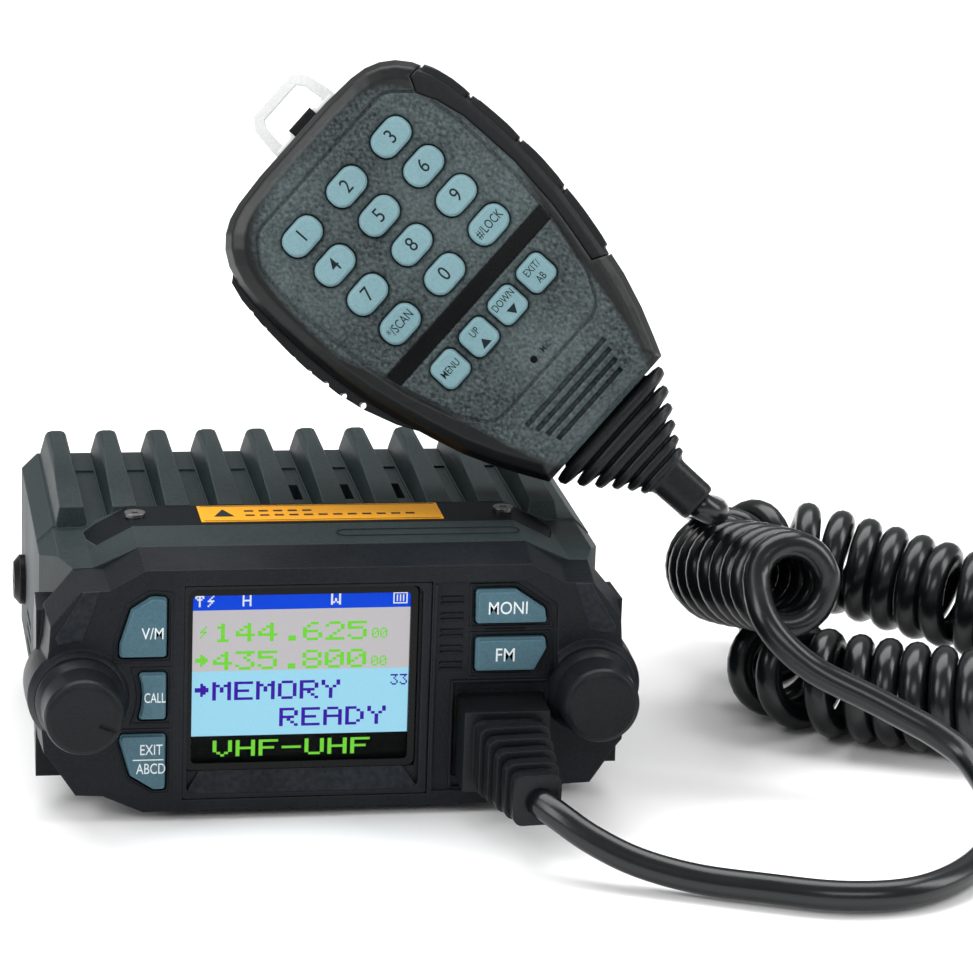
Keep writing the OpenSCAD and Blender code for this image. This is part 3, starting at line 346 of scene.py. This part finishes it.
# ---------------------------------------------------------------- the cord
CORD_D, COIL_R = 4.7, 6.95  # the conductor's thickness and the radius of the coil's centreline
PITCH, WIDEST_PITCH = 4.76, 9.0
CLOSING = 7.0  # length over which the coil's radius goes to nothing at its far end
PER_TURN = 28
LEAD = [(28.9, -58.4, 10.2), (31.5, -62, 9), (36, -66, 6.6), (42.5, -70, 4.2), (51, -74, 2.8), (61, -78.5, 2.7),
        (72, -82.5, 2.7), (83, -82, 2.7), (93, -75.5, 2.8), (101, -65, 3.4), (104.4, -54, 5.8), (103, -44, 9.4),
        (98.8, -39, 12.2), (93.9, -36, 14.5), (88.6, -33.5, 16.9), (83.8, -31.6, 18.9), (79.5, -30, 20.9),
        (75.8, -28.6, 23.7), (73, -26.8, 26.7), (71.4, -24.4, 29.8), (71.1, -21.6, 32.7)]
CURL = [(78, -19, 32), (77.2, -11, 30.2), (75.7, -2.5, 28.4), (74.4, 6, 26.2), (74.2, 16, 23.6), (76, 25, 22),
        (81, 32, 21.4), (88, 34.5, 21.2), (94.5, 32.5, 20.8), (101, 29, 19.8), (108, 25, 18.4), (114, 21, 17.4),
        (120, 16.4, 16.6), (129, 12, 14), (137, 7.5, 12.2), (142.5, 0, 10.5), (143, -9, 9.6), (139, -17, 9.4),
        (132, -21.5, 9.4), (124, -21.5, 9.4), (116, -18.5, 9.4), (109, -15, 9.4), (103.5, -12.3, 9.4),
        (97.8, -9.2, 9.4), (91.5, -5.8, 9.4), (86, -1, 9.4), (82.8, 6, 9.4), (81.8, 13, 9.4)]
RISE = [(81.7, 13, 9.4), (82.3, 19, 8.6), (84, 29, 5), (86.2, 39, 4.2), (87, 46.5, 8.5), (85.5, 49.5, 15.5),
        (81.5, 49, 21), (77, 45.5, 25), (73.4, 39.5, 28.2), (71.2, 30.5, 31.3), (69.6, 20, 34.2), (68.3, 10, 37.1),
        (67.5, 0, 39.8), (66.8, -8, 41.9), (65.5, -12.8, 43), (63, -13.8, 44.4), (62.1, -13.5, 45.2)]


def catmull(points, per):
    """A smooth curve through given points."""
    p = [Vector(q) for q in points]
    out = []
    for i in range(len(p) - 1):
        a, b, c, d = p[max(i - 1, 0)], p[i], p[i + 1], p[min(i + 2, len(p) - 1)]
        for k in range(per):
            t = k / per
            out.append(0.5 * (2 * b + (c - a) * t + (2 * a - 5 * b + 4 * c - d) * t * t + (3 * b - a - 3 * c + d) * t ** 3))
    return out + [p[-1]]


def arc_lengths(points):
    s = [0.0]
    for a, b in zip(points, points[1:]):
        s.append(s[-1] + (b - a).length)
    return s


def even(points, step):
    """The same curve with points a step apart."""
    s = arc_lengths(points)
    n = max(2, round(s[-1] / step) + 1)
    out, j = [], 0
    for k in range(n):
        want = s[-1] * k / (n - 1)
        while j < len(s) - 2 and s[j + 1] < want:
            j += 1
        f = (want - s[j]) / max(s[j + 1] - s[j], 1e-9)
        out.append(points[j].lerp(points[j + 1], min(1, f)))
    return out


def carried_frames(points, first):
    """A side vector at each point, carried along the curve without twisting."""
    tangents = [(points[min(i + 1, len(points) - 1)] - points[max(i - 1, 0)]).normalized() for i in range(len(points))]
    side = (first - first.dot(tangents[0]) * tangents[0]).normalized()
    sides = [side]
    for i in range(1, len(points)):
        side = tangents[i - 1].rotation_difference(tangents[i]) @ side
        side = (side - side.dot(tangents[i]) * tangents[i]).normalized()
        sides.append(side)
    return tangents, sides


def tube(points, radius, sides_n, first=Vector((0, 0, 1))):
    """Points and faces of a round tube on a curve, closed at both ends."""
    tangents, sides = carried_frames(points, first)
    verts, faces = [], []
    for p, t, a in zip(points, tangents, sides):
        b = t.cross(a)
        angles = [2 * math.pi * k / sides_n for k in range(sides_n)]
        verts += [p + radius * (math.cos(w) * a + math.sin(w) * b) for w in angles]
    for i in range(len(points) - 1):
        for k in range(sides_n):
            q = i * sides_n
            faces.append((q + k, q + (k + 1) % sides_n, q + sides_n + (k + 1) % sides_n, q + sides_n + k))
    faces.append(tuple(range(sides_n - 1, -1, -1)))
    faces.append(tuple((len(points) - 1) * sides_n + k for k in range(sides_n)))
    return verts, faces


def curly(axis_points, start):
    """The helix round the curl's axis. Its pitch opens where the axis bends, so the inner turns only touch."""
    axis = even(catmull(axis_points, 8), 0.4)
    s = arc_lengths(axis)
    radial = Vector(start) - axis[0]
    tangents, sides = carried_frames(axis, radial)
    out, phase = [], 0.0
    reach = 14  # points each way over which the bend is averaged
    bend = []
    for i in range(len(axis)):
        a, b = max(i - reach, 0), min(i + reach, len(axis) - 1)
        bend.append(tangents[a].angle(tangents[b]) / max(s[b] - s[a], 1e-6))
    for i, p in enumerate(axis):
        if i:
            pitch = min(WIDEST_PITCH, PITCH / max(0.3, 1 - 0.93 * COIL_R * bend[i]))
            phase += 2 * math.pi * (s[i] - s[i - 1]) / pitch
        left = (s[-1] - s[i]) / CLOSING
        r = COIL_R * (1 if left > 1 else max(0.0, math.sin(left * math.pi / 2)))
        a, t = sides[i], tangents[i]
        out.append((p, t, a, r, phase))
    turns = out[-1][4] / (2 * math.pi)
    n = int(turns * PER_TURN)
    phases = [o[4] for o in out]
    path, j = [], 0
    for k in range(n + 1):
        want = phases[-1] * k / n
        while j < len(phases) - 2 and phases[j + 1] < want:
            j += 1
        f = (want - phases[j]) / max(phases[j + 1] - phases[j], 1e-9)
        p = out[j][0].lerp(out[j + 1][0], f)
        t = out[j][1].lerp(out[j + 1][1], f).normalized()
        a = out[j][2].lerp(out[j + 1][2], f).normalized()
        r = out[j][3] * (1 - f) + out[j + 1][3] * f
        path.append(p + r * (math.cos(want) * a + math.sin(want) * t.cross(a)))
    return path, turns


lead_path = even(catmull(LEAD, 10), 1.5)
coil_path, coil_turns = curly(CURL, LEAD[-1])
rise_path = even(catmull(RISE, 10), 1.5)
cord_path = lead_path[:-2] + coil_path[1:-2] + rise_path[2:]
for _ in range(2):  # ease the joins between the plain and the curled stretches
    for centre in (len(lead_path) - 2, len(lead_path) + len(coil_path) - 5):
        for i in range(max(centre - 12, 1), min(centre + 12, len(cord_path) - 1)):
            cord_path[i] = cord_path[i] * 0.5 + (cord_path[i - 1] + cord_path[i + 1]) * 0.25
cord_length = arc_lengths(cord_path)[-1] * MM
print("cord length", round(cord_length, 4), "m, turns", round(coil_turns, 1), "points", len(cord_path))
verts, faces = tube(cord_path, CORD_D / 2, 14)
cord = add_mesh("curly_cord", verts, faces, "cord", None)
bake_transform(cord)
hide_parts("cord_lead", "cord_coil", "cord_end")



# ---------------------------------------------------------------- placing helpers
PANEL = Matrix(((1, 0, 0, 0), (0, 0, -1, FACE_Y), (0, 1, 0, 0), (0, 0, 0, 1)))  # across, up, out of the front panel
MIC = Matrix.Translation(MIC_AT) @ (Matrix.Rotation(math.radians(MIC_TURN[2]), 4, "Z")
                                    @ Matrix.Rotation(math.radians(MIC_TURN[1]), 4, "Y")
                                    @ Matrix.Rotation(math.radians(MIC_TURN[0]), 4, "X"))


def bevelled(name, rings, mat, body, place, edge=0.12, segments=2):
    """Plates from outlines: each ring is (outline, low, high), extruded and given rounded upper edges."""
    bm = bmesh.new()
    for outline, low, high in rings:
        bottom = [bm.verts.new((x, y, low)) for x, y in outline]
        top = [bm.verts.new((x, y, high)) for x, y in outline]
        n = len(outline)
        bm.faces.new(list(reversed(bottom)))
        lid = bm.faces.new(top)
        for i in range(n):
            bm.faces.new((bottom[i], bottom[(i + 1) % n], top[(i + 1) % n], top[i]))
        if edge:
            lid.select = True
            bmesh.ops.bevel(bm, geom=[e for e in lid.edges], offset=edge, segments=segments, affect="EDGES", profile=0.5)
    bmesh.ops.recalc_face_normals(bm, faces=bm.faces)
    mesh = bpy.data.meshes.new(name)
    bm.to_mesh(mesh)
    bm.free()
    mesh.transform(Matrix.Scale(MM, 4) @ place)
    mesh.materials.append(MAT[mat])
    o = bpy.data.objects.new(name, mesh)
    bpy.context.scene.collection.objects.link(o)
    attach(o, body)
    return o


def grown(outline, d):
    """An outline with every edge moved outwards by d."""
    area = sum(a[0] * b[1] - b[0] * a[1] for a, b in zip(outline, outline[1:] + outline[:1]))
    sign = 1 if area > 0 else -1
    out, n = [], len(outline)
    for i in range(n):
        p, q, r = (Vector(outline[j % n]) for j in (i - 1, i, i + 1))
        a, b = (q - p).normalized(), (r - q).normalized()
        na, nb = Vector((a.y, -a.x)) * sign, Vector((b.y, -b.x)) * sign
        m = (na + nb).normalized()
        out.append(tuple(q + m * d / max(0.5, m.dot(na))))
    return out


def frames(name, outlines, inner, outer, low, high, mat, body, place):
    """Raised rims that run round outlines, each a closed band with a rounded top."""
    verts, faces = [], []
    for outline in outlines:
        start, n = len(verts), len(outline)
        mid = (inner + outer) / 2
        section = [(inner, low), (inner, high - 0.1), (inner + 0.1, high), (mid, high + 0.02),
                   (outer - 0.1, high), (outer, high - 0.1), (outer, low)]
        for d, w in section:
            verts += [(x, y, w) for x, y in grown(outline, d)]
        for k in range(len(section)):
            for i in range(n):
                a, b = start + k * n, start + ((k + 1) % len(section)) * n
                faces.append((a + i, a + (i + 1) % n, b + (i + 1) % n, b + i))
    return add_mesh(name, verts, faces, mat, body, smooth=False, place=place)


def legend(name, lines, mat, body, place, high=0.03):
    """Printed words or numbers: each line is (text, size, x, y, z, width factor, turn)."""
    verts, faces = [], []
    for text, size, x, y, z, squeeze, turn in lines:
        curve = bpy.data.curves.new(name, "FONT")
        curve.body = text
        curve.size = size
        curve.align_x = "CENTER"
        curve.align_y = "CENTER"
        curve.offset = 0.002 * size
        curve.extrude = high / 2
        curve.resolution_u = 4
        o = bpy.data.objects.new(name + "_curve", curve)
        bpy.context.scene.collection.objects.link(o)
        bpy.context.view_layer.update()
        mesh = bpy.data.meshes.new_from_object(o)
        c, w = math.cos(math.radians(turn)), math.sin(math.radians(turn))
        start = len(verts)
        for v in mesh.vertices:
            a, b = v.co.x * squeeze, v.co.y
            verts.append((x + a * c - b * w, y + a * w + b * c, z + v.co.z))
        faces += [tuple(start + i for i in f.vertices) for f in mesh.polygons]
        bpy.data.objects.remove(o)
        bpy.data.curves.remove(curve)
        bpy.data.meshes.remove(mesh)
    return add_mesh(name, verts, faces, mat, body, smooth=False, place=place)


def slabs(name, boxes, mat, body, place, edge=0.08):
    """Several thin plates as one piece: each is (x0, x1, y0, y1, low, high)."""
    return bevelled(name, [([(x0, y0), (x1, y0), (x1, y1), (x0, y1)], low, high) for x0, x1, y0, y1, low, high in boxes],
                    mat, body, place, edge)


# ---------------------------------------------------------------- the display
LCD_X0, LCD_X1, LCD_TOP, LCD_LOW = -23.3, 11.7, 37.35, 9.05
# rows of a 5 by 7 letter from the top, two hexadecimal digits each
GLYPHS = {
    "0": "0E11131519110E", "1": "040C040404040E", "2": "0E11010204081F", "3": "1F02040201110E", "4": "02060A121F0202",
    "5": "1F101E0101110E", "6": "0608101E11110E", "8": "0E11110E11110E", "A": "0E11111F111111", "D": "1C12111111121C",
    "E": "1F10101E10101F", "F": "1F10101E101010", "H": "1111111F111111", "M": "111B1515111111", "O": "0E11111111110E",
    "R": "1E11111E141211", "U": "1111111111110E", "V": "11111111110A04", "W": "11111115151B11", "Y": "11110A04040404",
    ".": "00000000000606", "-": "0000001F000000", ">": "04061F1F060400", "^": "1F150E04040404", "/": "0102040F020408",
}


def dots(text, x, top, wide, high, pitch=None):
    """Rectangles of the lit dots of a line of text, whose cells are wide and high, run together along each row."""
    out, pitch = [], pitch or wide * 1.17
    for k, letter in enumerate(text):
        if letter == " ":
            continue
        rows = GLYPHS[letter]
        for r in range(7):
            bits = int(rows[2 * r:2 * r + 2], 16)
            c = 0
            while c < 5:
                if bits >> (4 - c) & 1:
                    end = c
                    while end < 5 and bits >> (4 - end) & 1:
                        end += 1
                    x0 = x + k * pitch + c * wide / 5
                    out.append((x0, x0 + (end - c) * wide / 5, top - (r + 1) * high / 7, top - r * high / 7))
                    c = end
                c += 1
    return out


def screen(name, rectangles, mat, low, high):
    verts, faces = [], []
    for x0, x1, y0, y1 in rectangles:
        s = len(verts)
        verts += [(x, y, w) for w in (low, high) for x, y in ((x0, y0), (x1, y0), (x1, y1), (x0, y1))]
        faces += [(s + 3, s + 2, s + 1, s), (s + 4, s + 5, s + 6, s + 7)]
        faces += [(s + i, s + (i + 1) % 4, s + 4 + (i + 1) % 4, s + 4 + i) for i in range(4)]
    return add_mesh(name, verts, faces, mat, "radio", smooth=False, place=PANEL)


zones = (("header", "lit_blue", 0, 3.0), ("upper", "lit_grey", 3.0, 13.2), ("lower", "lit_sky", 13.2, 24.1),
         ("strip", "lit_black", 24.1, 28.3))
for name, mat, a, b in zones:
    screen("screen_" + name, [(LCD_X0, LCD_X1, LCD_TOP - b, LCD_TOP - a)], mat, -2.4, -2.36)
green = dots("144.625", -19.8, LCD_TOP - 5.2, 3.1, 3.1, 3.58) + dots("00", 5.6, LCD_TOP - 6.4, 1.15, 1.7, 1.35)
green += dots("435.800", -19.8, LCD_TOP - 9.9, 3.1, 3.1, 3.58) + dots("00", 5.6, LCD_TOP - 11.1, 1.15, 1.7, 1.35)
green += dots(">", -22.6, LCD_TOP - 10.3, 2.0, 2.4) + dots("/", -22.2, LCD_TOP - 5.6, 1.4, 2.0)
green += dots("VHF-UHF", -19.6, LCD_TOP - 24.9, 3.1, 2.7, 3.7)
screen("screen_green_text", green, "lit_green", -2.37, -2.32)
violet = dots(">", -22.6, LCD_TOP - 15.2, 2.2, 2.6) + dots("MEMORY", -19.8, LCD_TOP - 15.0, 3.0, 3.1, 3.5)
violet += dots("33", 8.8, LCD_TOP - 14.3, 1.2, 1.8, 1.5) + dots("READY", -9.0, LCD_TOP - 19.6, 3.0, 3.1, 3.55)
screen("screen_violet_text", violet, "lit_violet", -2.37, -2.32)
white = dots("^", -22.7, LCD_TOP - 0.5, 1.4, 1.9) + dots("/", -21.0, LCD_TOP - 0.5, 1.3, 1.9)
white += dots("H", -15.2, LCD_TOP - 0.5, 1.4, 1.9) + dots("W", -1.1, LCD_TOP - 0.5, 1.6, 1.9)
BATTERY = ((8.9, 11.2, 0.5, 0.7), (8.9, 11.2, 2.2, 2.4), (8.9, 9.1, 0.5, 2.4), (11.0, 11.2, 0.5, 2.4),
           (9.45, 9.65, 0.9, 2.0), (9.95, 10.15, 0.9, 2.0), (10.45, 10.65, 0.9, 2.0))
for x0, x1, y0, y1 in BATTERY:
    white.append((x0, x1, LCD_TOP - y1, LCD_TOP - y0))
screen("screen_white_text", white, "lit_white", -2.37, -2.32)


def rounded(x0, x1, y0, y1, r, n=5):
    out = []
    for cx, cy, a0 in ((x1 - r, y1 - r, 0), (x0 + r, y1 - r, 90), (x0 + r, y0 + r, 180), (x1 - r, y0 + r, 270)):
        turns = [math.radians(a0 + 90 * k / n) for k in range(n + 1)]
        out += [(cx + r * math.cos(a), cy + r * math.sin(a)) for a in turns]
    return out


lens = bevelled("lens_pane", [(rounded(-24.3, 12.7, 8.05, 38.35, 0.9), -1.75, -1.1)],
                "lens", "radio", PANEL, 0.15)
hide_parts("display_lens")


def ring_plate(name, outer, inner, low, high, mat, body, place, edge=0.15):
    """A flat frame between two outlines with the same number of points."""
    verts, faces, n = [], [], len(outer)
    mid = [((1 - edge) * ox + edge * ix, (1 - edge) * oy + edge * iy) for (ox, oy), (ix, iy) in zip(outer, inner)]
    loops = [(outer, low), (outer, high - 0.12), (mid, high), (inner, high), (inner, low)]
    for outline, w in loops:
        verts += [(x, y, w) for x, y in outline]
    for k in range(len(loops)):
        for i in range(n):
            a, b = k * n, ((k + 1) % len(loops)) * n
            faces.append((a + i, a + (i + 1) % n, b + (i + 1) % n, b + i))
    return add_mesh(name, verts, faces, mat, body, smooth=False, place=place)


ring_plate("lens_border", rounded(-24.5, 12.9, 7.85, 38.55, 1.2),
           rounded(-23.2, 11.6, 9.15, 37.25, 0.7), -1.3, -0.95, "gloss", "radio", PANEL)
ring_plate("display_surround", rounded(-24.6, 14.8, 3.5, 39.1, 0.4),
           rounded(-24.0, 13.4, 4.3, 38.6, 1.4), -1.2, 0.02, "panel", "radio", PANEL)

# sloping sill under the display
sill = [(-24.1, 4.3, -0.1), (13.5, 4.3, -0.1), (10.9, 7.9, -1.05), (-21.9, 7.9, -1.05)]
add_mesh("display_sill", sill + [(x, y, -1.3) for x, y, _ in sill],
         [(0, 1, 2, 3), (7, 6, 5, 4), (0, 4, 5, 1), (1, 5, 6, 2), (2, 6, 7, 3), (3, 7, 4, 0)],
         "inset", "radio", smooth=False, place=PANEL)

KEYS = {
    "vm": [(-28.9, 37.6), (-27.4, 37.4), (-27.4, 27.6), (-34.8, 27.6), (-34.8, 29.8), (-33, 35.6), (-29.9, 37.6)],
    "call": [(-31.8, 25), (-27.4, 25), (-27.4, 17.2), (-31.8, 17.2), (-31.3, 19), (-31.1, 21.1), (-31.3, 23.2)],
    "exit": [(-34.5, 14.7), (-27.4, 14.7), (-27.4, 5.4), (-29.3, 5.4), (-33, 7.8), (-34.7, 13.6)],
    "moni": [(21.9, 37.7), (28.3, 37.7), (33.1, 34.4), (33.5, 32.1), (22, 32.1)],
    "fm": [(22.1, 29.6), (33.3, 29.6), (33.6, 27.8), (31.7, 24.1), (22.1, 24.1)],
}
# rims round the keys, ribs beside the display, and textured plates on the shoulders
frames("key_rims_left", [KEYS["vm"], KEYS["call"], KEYS["exit"]], 0.55, 0.98, -0.3, 0.22,
       "panel", "radio", PANEL)
frames("key_rims_right", [KEYS["moni"], KEYS["fm"]], 0.55, 0.95, -0.9, -0.3, "panel", "radio", PANEL)
ribs = []
for k in range(5):
    z = 36.2 - 2.75 * k
    ribs += [(16.4, 20.0, z, z + 0.32, -0.8, -0.2), (16.4, 20.0, z - 0.95, z - 0.63, -0.8, -0.2)]
ribs += [(15.2, 15.7, 4.2, 38.8, -0.4, 0.25), (23.6, 30.2, 30.7, 31.0, -0.8, -0.3)]
ribs += [(18.5, 34.2, 22.1, 22.45, -0.9, -0.15), (18.35, 18.7, 4.2, 22.45, -0.9, -0.15)]
slabs("panel_ribs", ribs, "panel", "radio", PANEL)
for side, s in (("left", -1), ("right", 1)):
    patch = [(s * 37.9, 38.6), (s * 40.5, 38.5), (s * 44.9, 31.0), (s * 44.4, 29.9), (s * 40.6, 30.6)]
    bevelled("shoulder_" + side, [(patch if s < 0 else patch[::-1], -0.3, 0.18)],
             "inset", "radio", PANEL, 0.15)

# ---------------------------------------------------------------- words and numbers on the radio's keys
KEY_FACE = 0.69  # the panel keys' printed face, out of the panel
WORDS = {"vm": (("V/M", 2.7, -29.6, 31.6, 0.80),), "call": (("CALL", 2.35, -29.2, 20.9, 0.62),),
         "exit": (("EXIT", 2.5, -29.7, 12.2, 0.72), ("ABCD", 2.5, -29.7, 9.0, 0.70)),
         "moni": (("MONI", 3.0, 27.0, 34.7, 0.84),),
         "fm": (("FM", 3.2, 26.8, 26.8, 0.86),)}
for name, words in WORDS.items():
    legend("legend_" + name, [(t, size, x, z, KEY_FACE, squeeze, 0) for t, size, x, z, squeeze in words],
           "ink_light", "key_" + name, PANEL)
slabs("legend_exit_line", [(-32.6, -27.7, 10.5, 10.68, 0.66, 0.71)], "ink_light", "key_exit", PANEL, 0)

# ---------------------------------------------------------------- top: plain bars on the label, outlines on the trim
ON_LABEL = (0.11, 0.15)  # low and high of the ink on the label
TOP = Matrix(((1, 0, 0, 0), (0, 1, 0, 0), (0, 0, 1, TOP_Z), (0, 0, 0, 1)))
bars = []
for count, y0, y1 in ((5, -9.1, -8.3), (12, -11.5, -10.7)):
    bars += [(-12.4 + 2.4 * k, -10.9 + 2.4 * k, y0, y1, *ON_LABEL) for k in range(count)]
bars += [(-19.4, 19.4, -13.95, -13.75, *ON_LABEL), (-19.4, 19.4, -6.05, -5.85, *ON_LABEL)]
slabs("label_bars", bars, "ink_dark", "radio", TOP, 0)
bevelled("label_mark", [([(-17.6, -11.6), (-14.2, -11.6), (-15.9, -7.6)], *ON_LABEL)],
         "ink_dark", "radio", TOP, 0)
frames("trim_outlines", [rounded(1.5, 31.0, -22.6, -19.6, 1.4)], 0, 0.34, -0.05, 0.12, "trim", "radio", TOP)

# ---------------------------------------------------------------- hand microphone
bevelled("mic_band", [([(-18.9, -14.65), (-18.4, -17.45), (18.4, -17.45), (18.9, -14.65)][::-1], -0.4, -0.06)],
         "gloss", "hand_mic", MIC, 0.1)
MIC_KEY_FACE = 0.79  # the printed face of the microphone's keys, out of its front
numbers = {"1": (0, 0), "2": (1, 0), "3": (2, 0), "4": (0, 1), "5": (1, 1),
           "6": (2, 1), "7": (0, 2), "8": (1, 2), "9": (2, 2), "0": (1, 3)}
for n, (c, r) in numbers.items():
    legend("legend_mic_" + n, [(n, 3.5, (c - 1) * 10.85, (1.5 - r) * 7.13, MIC_KEY_FACE, 0.86, 0)],
           "ink_dark", "mic_key_" + n, MIC)
legend("legend_mic_star", [("*/SCAN", 2.25, -10.85, -10.7, MIC_KEY_FACE, 0.72, 0)],
       "ink_dark", "mic_key_star", MIC)
legend("legend_mic_hash", [("#/LOCK", 2.25, 10.85, -10.7, MIC_KEY_FACE, 0.70, 0)],
       "ink_dark", "mic_key_hash", MIC)
FN_Y = -21.7
for i, x, words in ((1, -10.9, ("MENU",)), (2, -3.9, ("UP",)), (3, 3.1, ("DOWN",)), (4, 10.1, ("EXIT/", "AB"))):
    lines = [(words[0], 1.85, x, FN_Y + (0.0 if i == 1 else 1.0), MIC_KEY_FACE, 0.74, 0)]
    lines += [(w, 1.85, x, FN_Y - 1.1, MIC_KEY_FACE, 0.74, 0) for w in words[1:]]
    legend("legend_mic_fn_%d" % i, lines, "ink_dark", "mic_fn_%d" % i, MIC)
for i, x, up in ((2, -3.9, 1), (3, 3.1, -1)):
    mark = [(x - 0.95, FN_Y - 1.25 - 0.7 * up), (x + 0.95, FN_Y - 1.25 - 0.7 * up), (x, FN_Y - 1.25 + 0.8 * up)]
    bevelled("legend_mic_arrow_%d" % i, [(mark if up > 0 else mark[::-1], 0.77, 0.81)],
             "ink_dark", "mic_fn_%d" % i, MIC, 0)
legend("legend_mic_hole", [("MIC", 1.5, 2.2, -30.8, 0.01, 0.8, 0)], "ink_dark", "hand_mic", MIC)
hole = [(-0.7 + 0.62 * math.cos(a), -30.8 + 0.62 * math.sin(a)) for a in (2 * math.pi * k / 20 for k in range(20))]
bevelled("mic_hole_cap", [(hole, -1.6, -0.5)], "gloss", "hand_mic", MIC, 0)

# half width and height along the microphone's right edge
EDGE = [(20.9, 18.9), (22.5, 16.6), (23.7, 13.5), (24.4, 9.5), (24.8, 4), (24.9, -2), (24.6, -9), (23.9, -15),
        (22.8, -20.5), (21.4, -26.5), (19.8, -32.4), (17.6, -38.2), (15.4, -42.8)]


def edge_at(v):
    """Half width of the microphone's outline at height v."""
    for (x0, y0), (x1, y1) in zip(EDGE, EDGE[1:]):
        if y1 <= v <= y0:
            return x1 + (x0 - x1) * (v - y1) / (y0 - y1)
    return EDGE[0][0] if v > EDGE[0][1] else EDGE[-1][0]


def pad(top, low, side, out_by, in_by, n=7):
    """Outline of a rubber pad that follows the microphone's edge between two heights."""
    vs = [top + (low - top) * k / n for k in range(n + 1)]
    outer = [(side * (edge_at(v) + out_by * math.sin(math.pi * (0.12 + 0.76 * k / n)) ** 0.4), v) for k, v in enumerate(vs)]
    inner = [(side * (edge_at(v) - in_by), v) for v in reversed(vs)]
    outline = outer + inner
    return outline if side < 0 else outline[::-1]


pads = [(pad(a, b, 1, 0.35, 2.3), -13.2, -1.2)
        for a, b in ((14.7, 6.0), (5.4, -4.9), (-5.5, -15.5), (-16.1, -27.2))]
bevelled("grip_pads", pads, "rubber", "hand_mic", MIC, 0.7, 3)


def loft(stations, n, place, power=2.6):
    """A closed skin through cross-sections (along, half width, half depth) that run down the microphone's axis."""
    verts, faces = [], []
    for s, hw, hd in stations:
        for k in range(n):
            a = 2 * math.pi * k / n
            c, w = math.cos(a), math.sin(a)
            e = 2 / power
            verts.append((hw * math.copysign(abs(c) ** e, c), -s, -10.5 + hd * math.copysign(abs(w) ** e, w)))
    for i in range(len(stations) - 1):
        for k in range(n):
            a, b = i * n + k, i * n + (k + 1) % n
            faces.append((a, a + n, b + n, b))
    faces.append(tuple(range(n)))
    faces.append(tuple((len(stations) - 1) * n + k for k in range(n - 1, -1, -1)))
    return verts, faces


stations = [(43.4, 9.6, 5.4), (46.0, 9.8, 5.5)]
# each rib of the relief: where it starts, its thickness, half width, half depth, and how far the groove goes in
RIBS = ((46.5, 2.2, 12.7, 7.4, 0.80), (49.2, 2.0, 10.9, 7.1, 0.80), (51.7, 1.8, 9.2, 6.5, 0.80),
        (54.0, 1.6, 7.5, 5.9, 0.82), (56.1, 1.5, 6.0, 5.2, 0.84), (58.1, 1.3, 4.9, 4.6, 0.86))
for s, thick, hw, hd, root in RIBS:
    profile = ((-0.12, root), (0, 0.9), (0.12 * thick, 0.985), (0.45 * thick, 1), (0.85 * thick, 0.97), (thick, 0.88),
               (thick + 0.1, root * 0.97))
    stations += [(s + along, hw * part, hd * part) for along, part in profile]
stations += [(60.0, 3.7, 3.7), (60.6, 3.55, 3.55), (66.2, 3.45, 3.45), (66.8, 3.3, 3.3), (67.0, 3.0, 3.0)]
verts, faces = loft(stations, 56, MIC)
boot = add_mesh("mic_relief", verts, faces, "boot", "hand_mic", place=MIC)
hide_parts("mic_boot")


# ---------------------------------------------------------------- stage
def stage_plane():
    mesh = bpy.data.meshes.new("floor")
    mesh.from_pydata([(-3, -3, 0), (3, -3, 0), (3, 3, 0), (-3, 3, 0)], [], [(0, 1, 2, 3)])
    m, nodes, links, shader = new_material("floor_white")
    shader.inputs["Base Color"].default_value = (0.93, 0.93, 0.93, 1)
    shader.inputs["Roughness"].default_value = 0.9
    shader.inputs["Specular IOR Level"].default_value = 0.1
    mesh.materials.append(m)
    o = bpy.data.objects.new("floor", mesh)
    o.location.z = -0.0002
    bpy.context.scene.collection.objects.link(o)


def area_light(name, at, size, power, look=(0.03, 0.0, 0.05)):
    data = bpy.data.lights.new(name, "AREA")
    data.shape = "RECTANGLE"
    data.size, data.size_y = size
    data.energy = power
    o = bpy.data.objects.new(name, data)
    o.location = at
    o.rotation_euler = (Vector(look) - Vector(at)).to_track_quat("-Z", "Y").to_euler()
    bpy.context.scene.collection.objects.link(o)


stage_plane()
area_light("top_softbox", (0.0, 0.35, 1.1), (1.4, 0.8), 17)
area_light("left_softbox", (-0.9, -0.4, 0.7), (0.5, 0.9), 8)
area_light("right_softbox", (1.0, -0.2, 0.6), (0.4, 0.9), 7)
area_light("front_fill", (0.1, -1.3, 0.9), (0.9, 0.4), 5)
world = bpy.data.worlds.new("studio")
world.use_nodes = True
world.node_tree.nodes["Background"].inputs["Color"].default_value = (1, 1, 1, 1)
world.node_tree.nodes["Background"].inputs["Strength"].default_value = 0.35
bpy.context.scene.world = world
bpy.context.scene.view_settings.view_transform = "Standard"
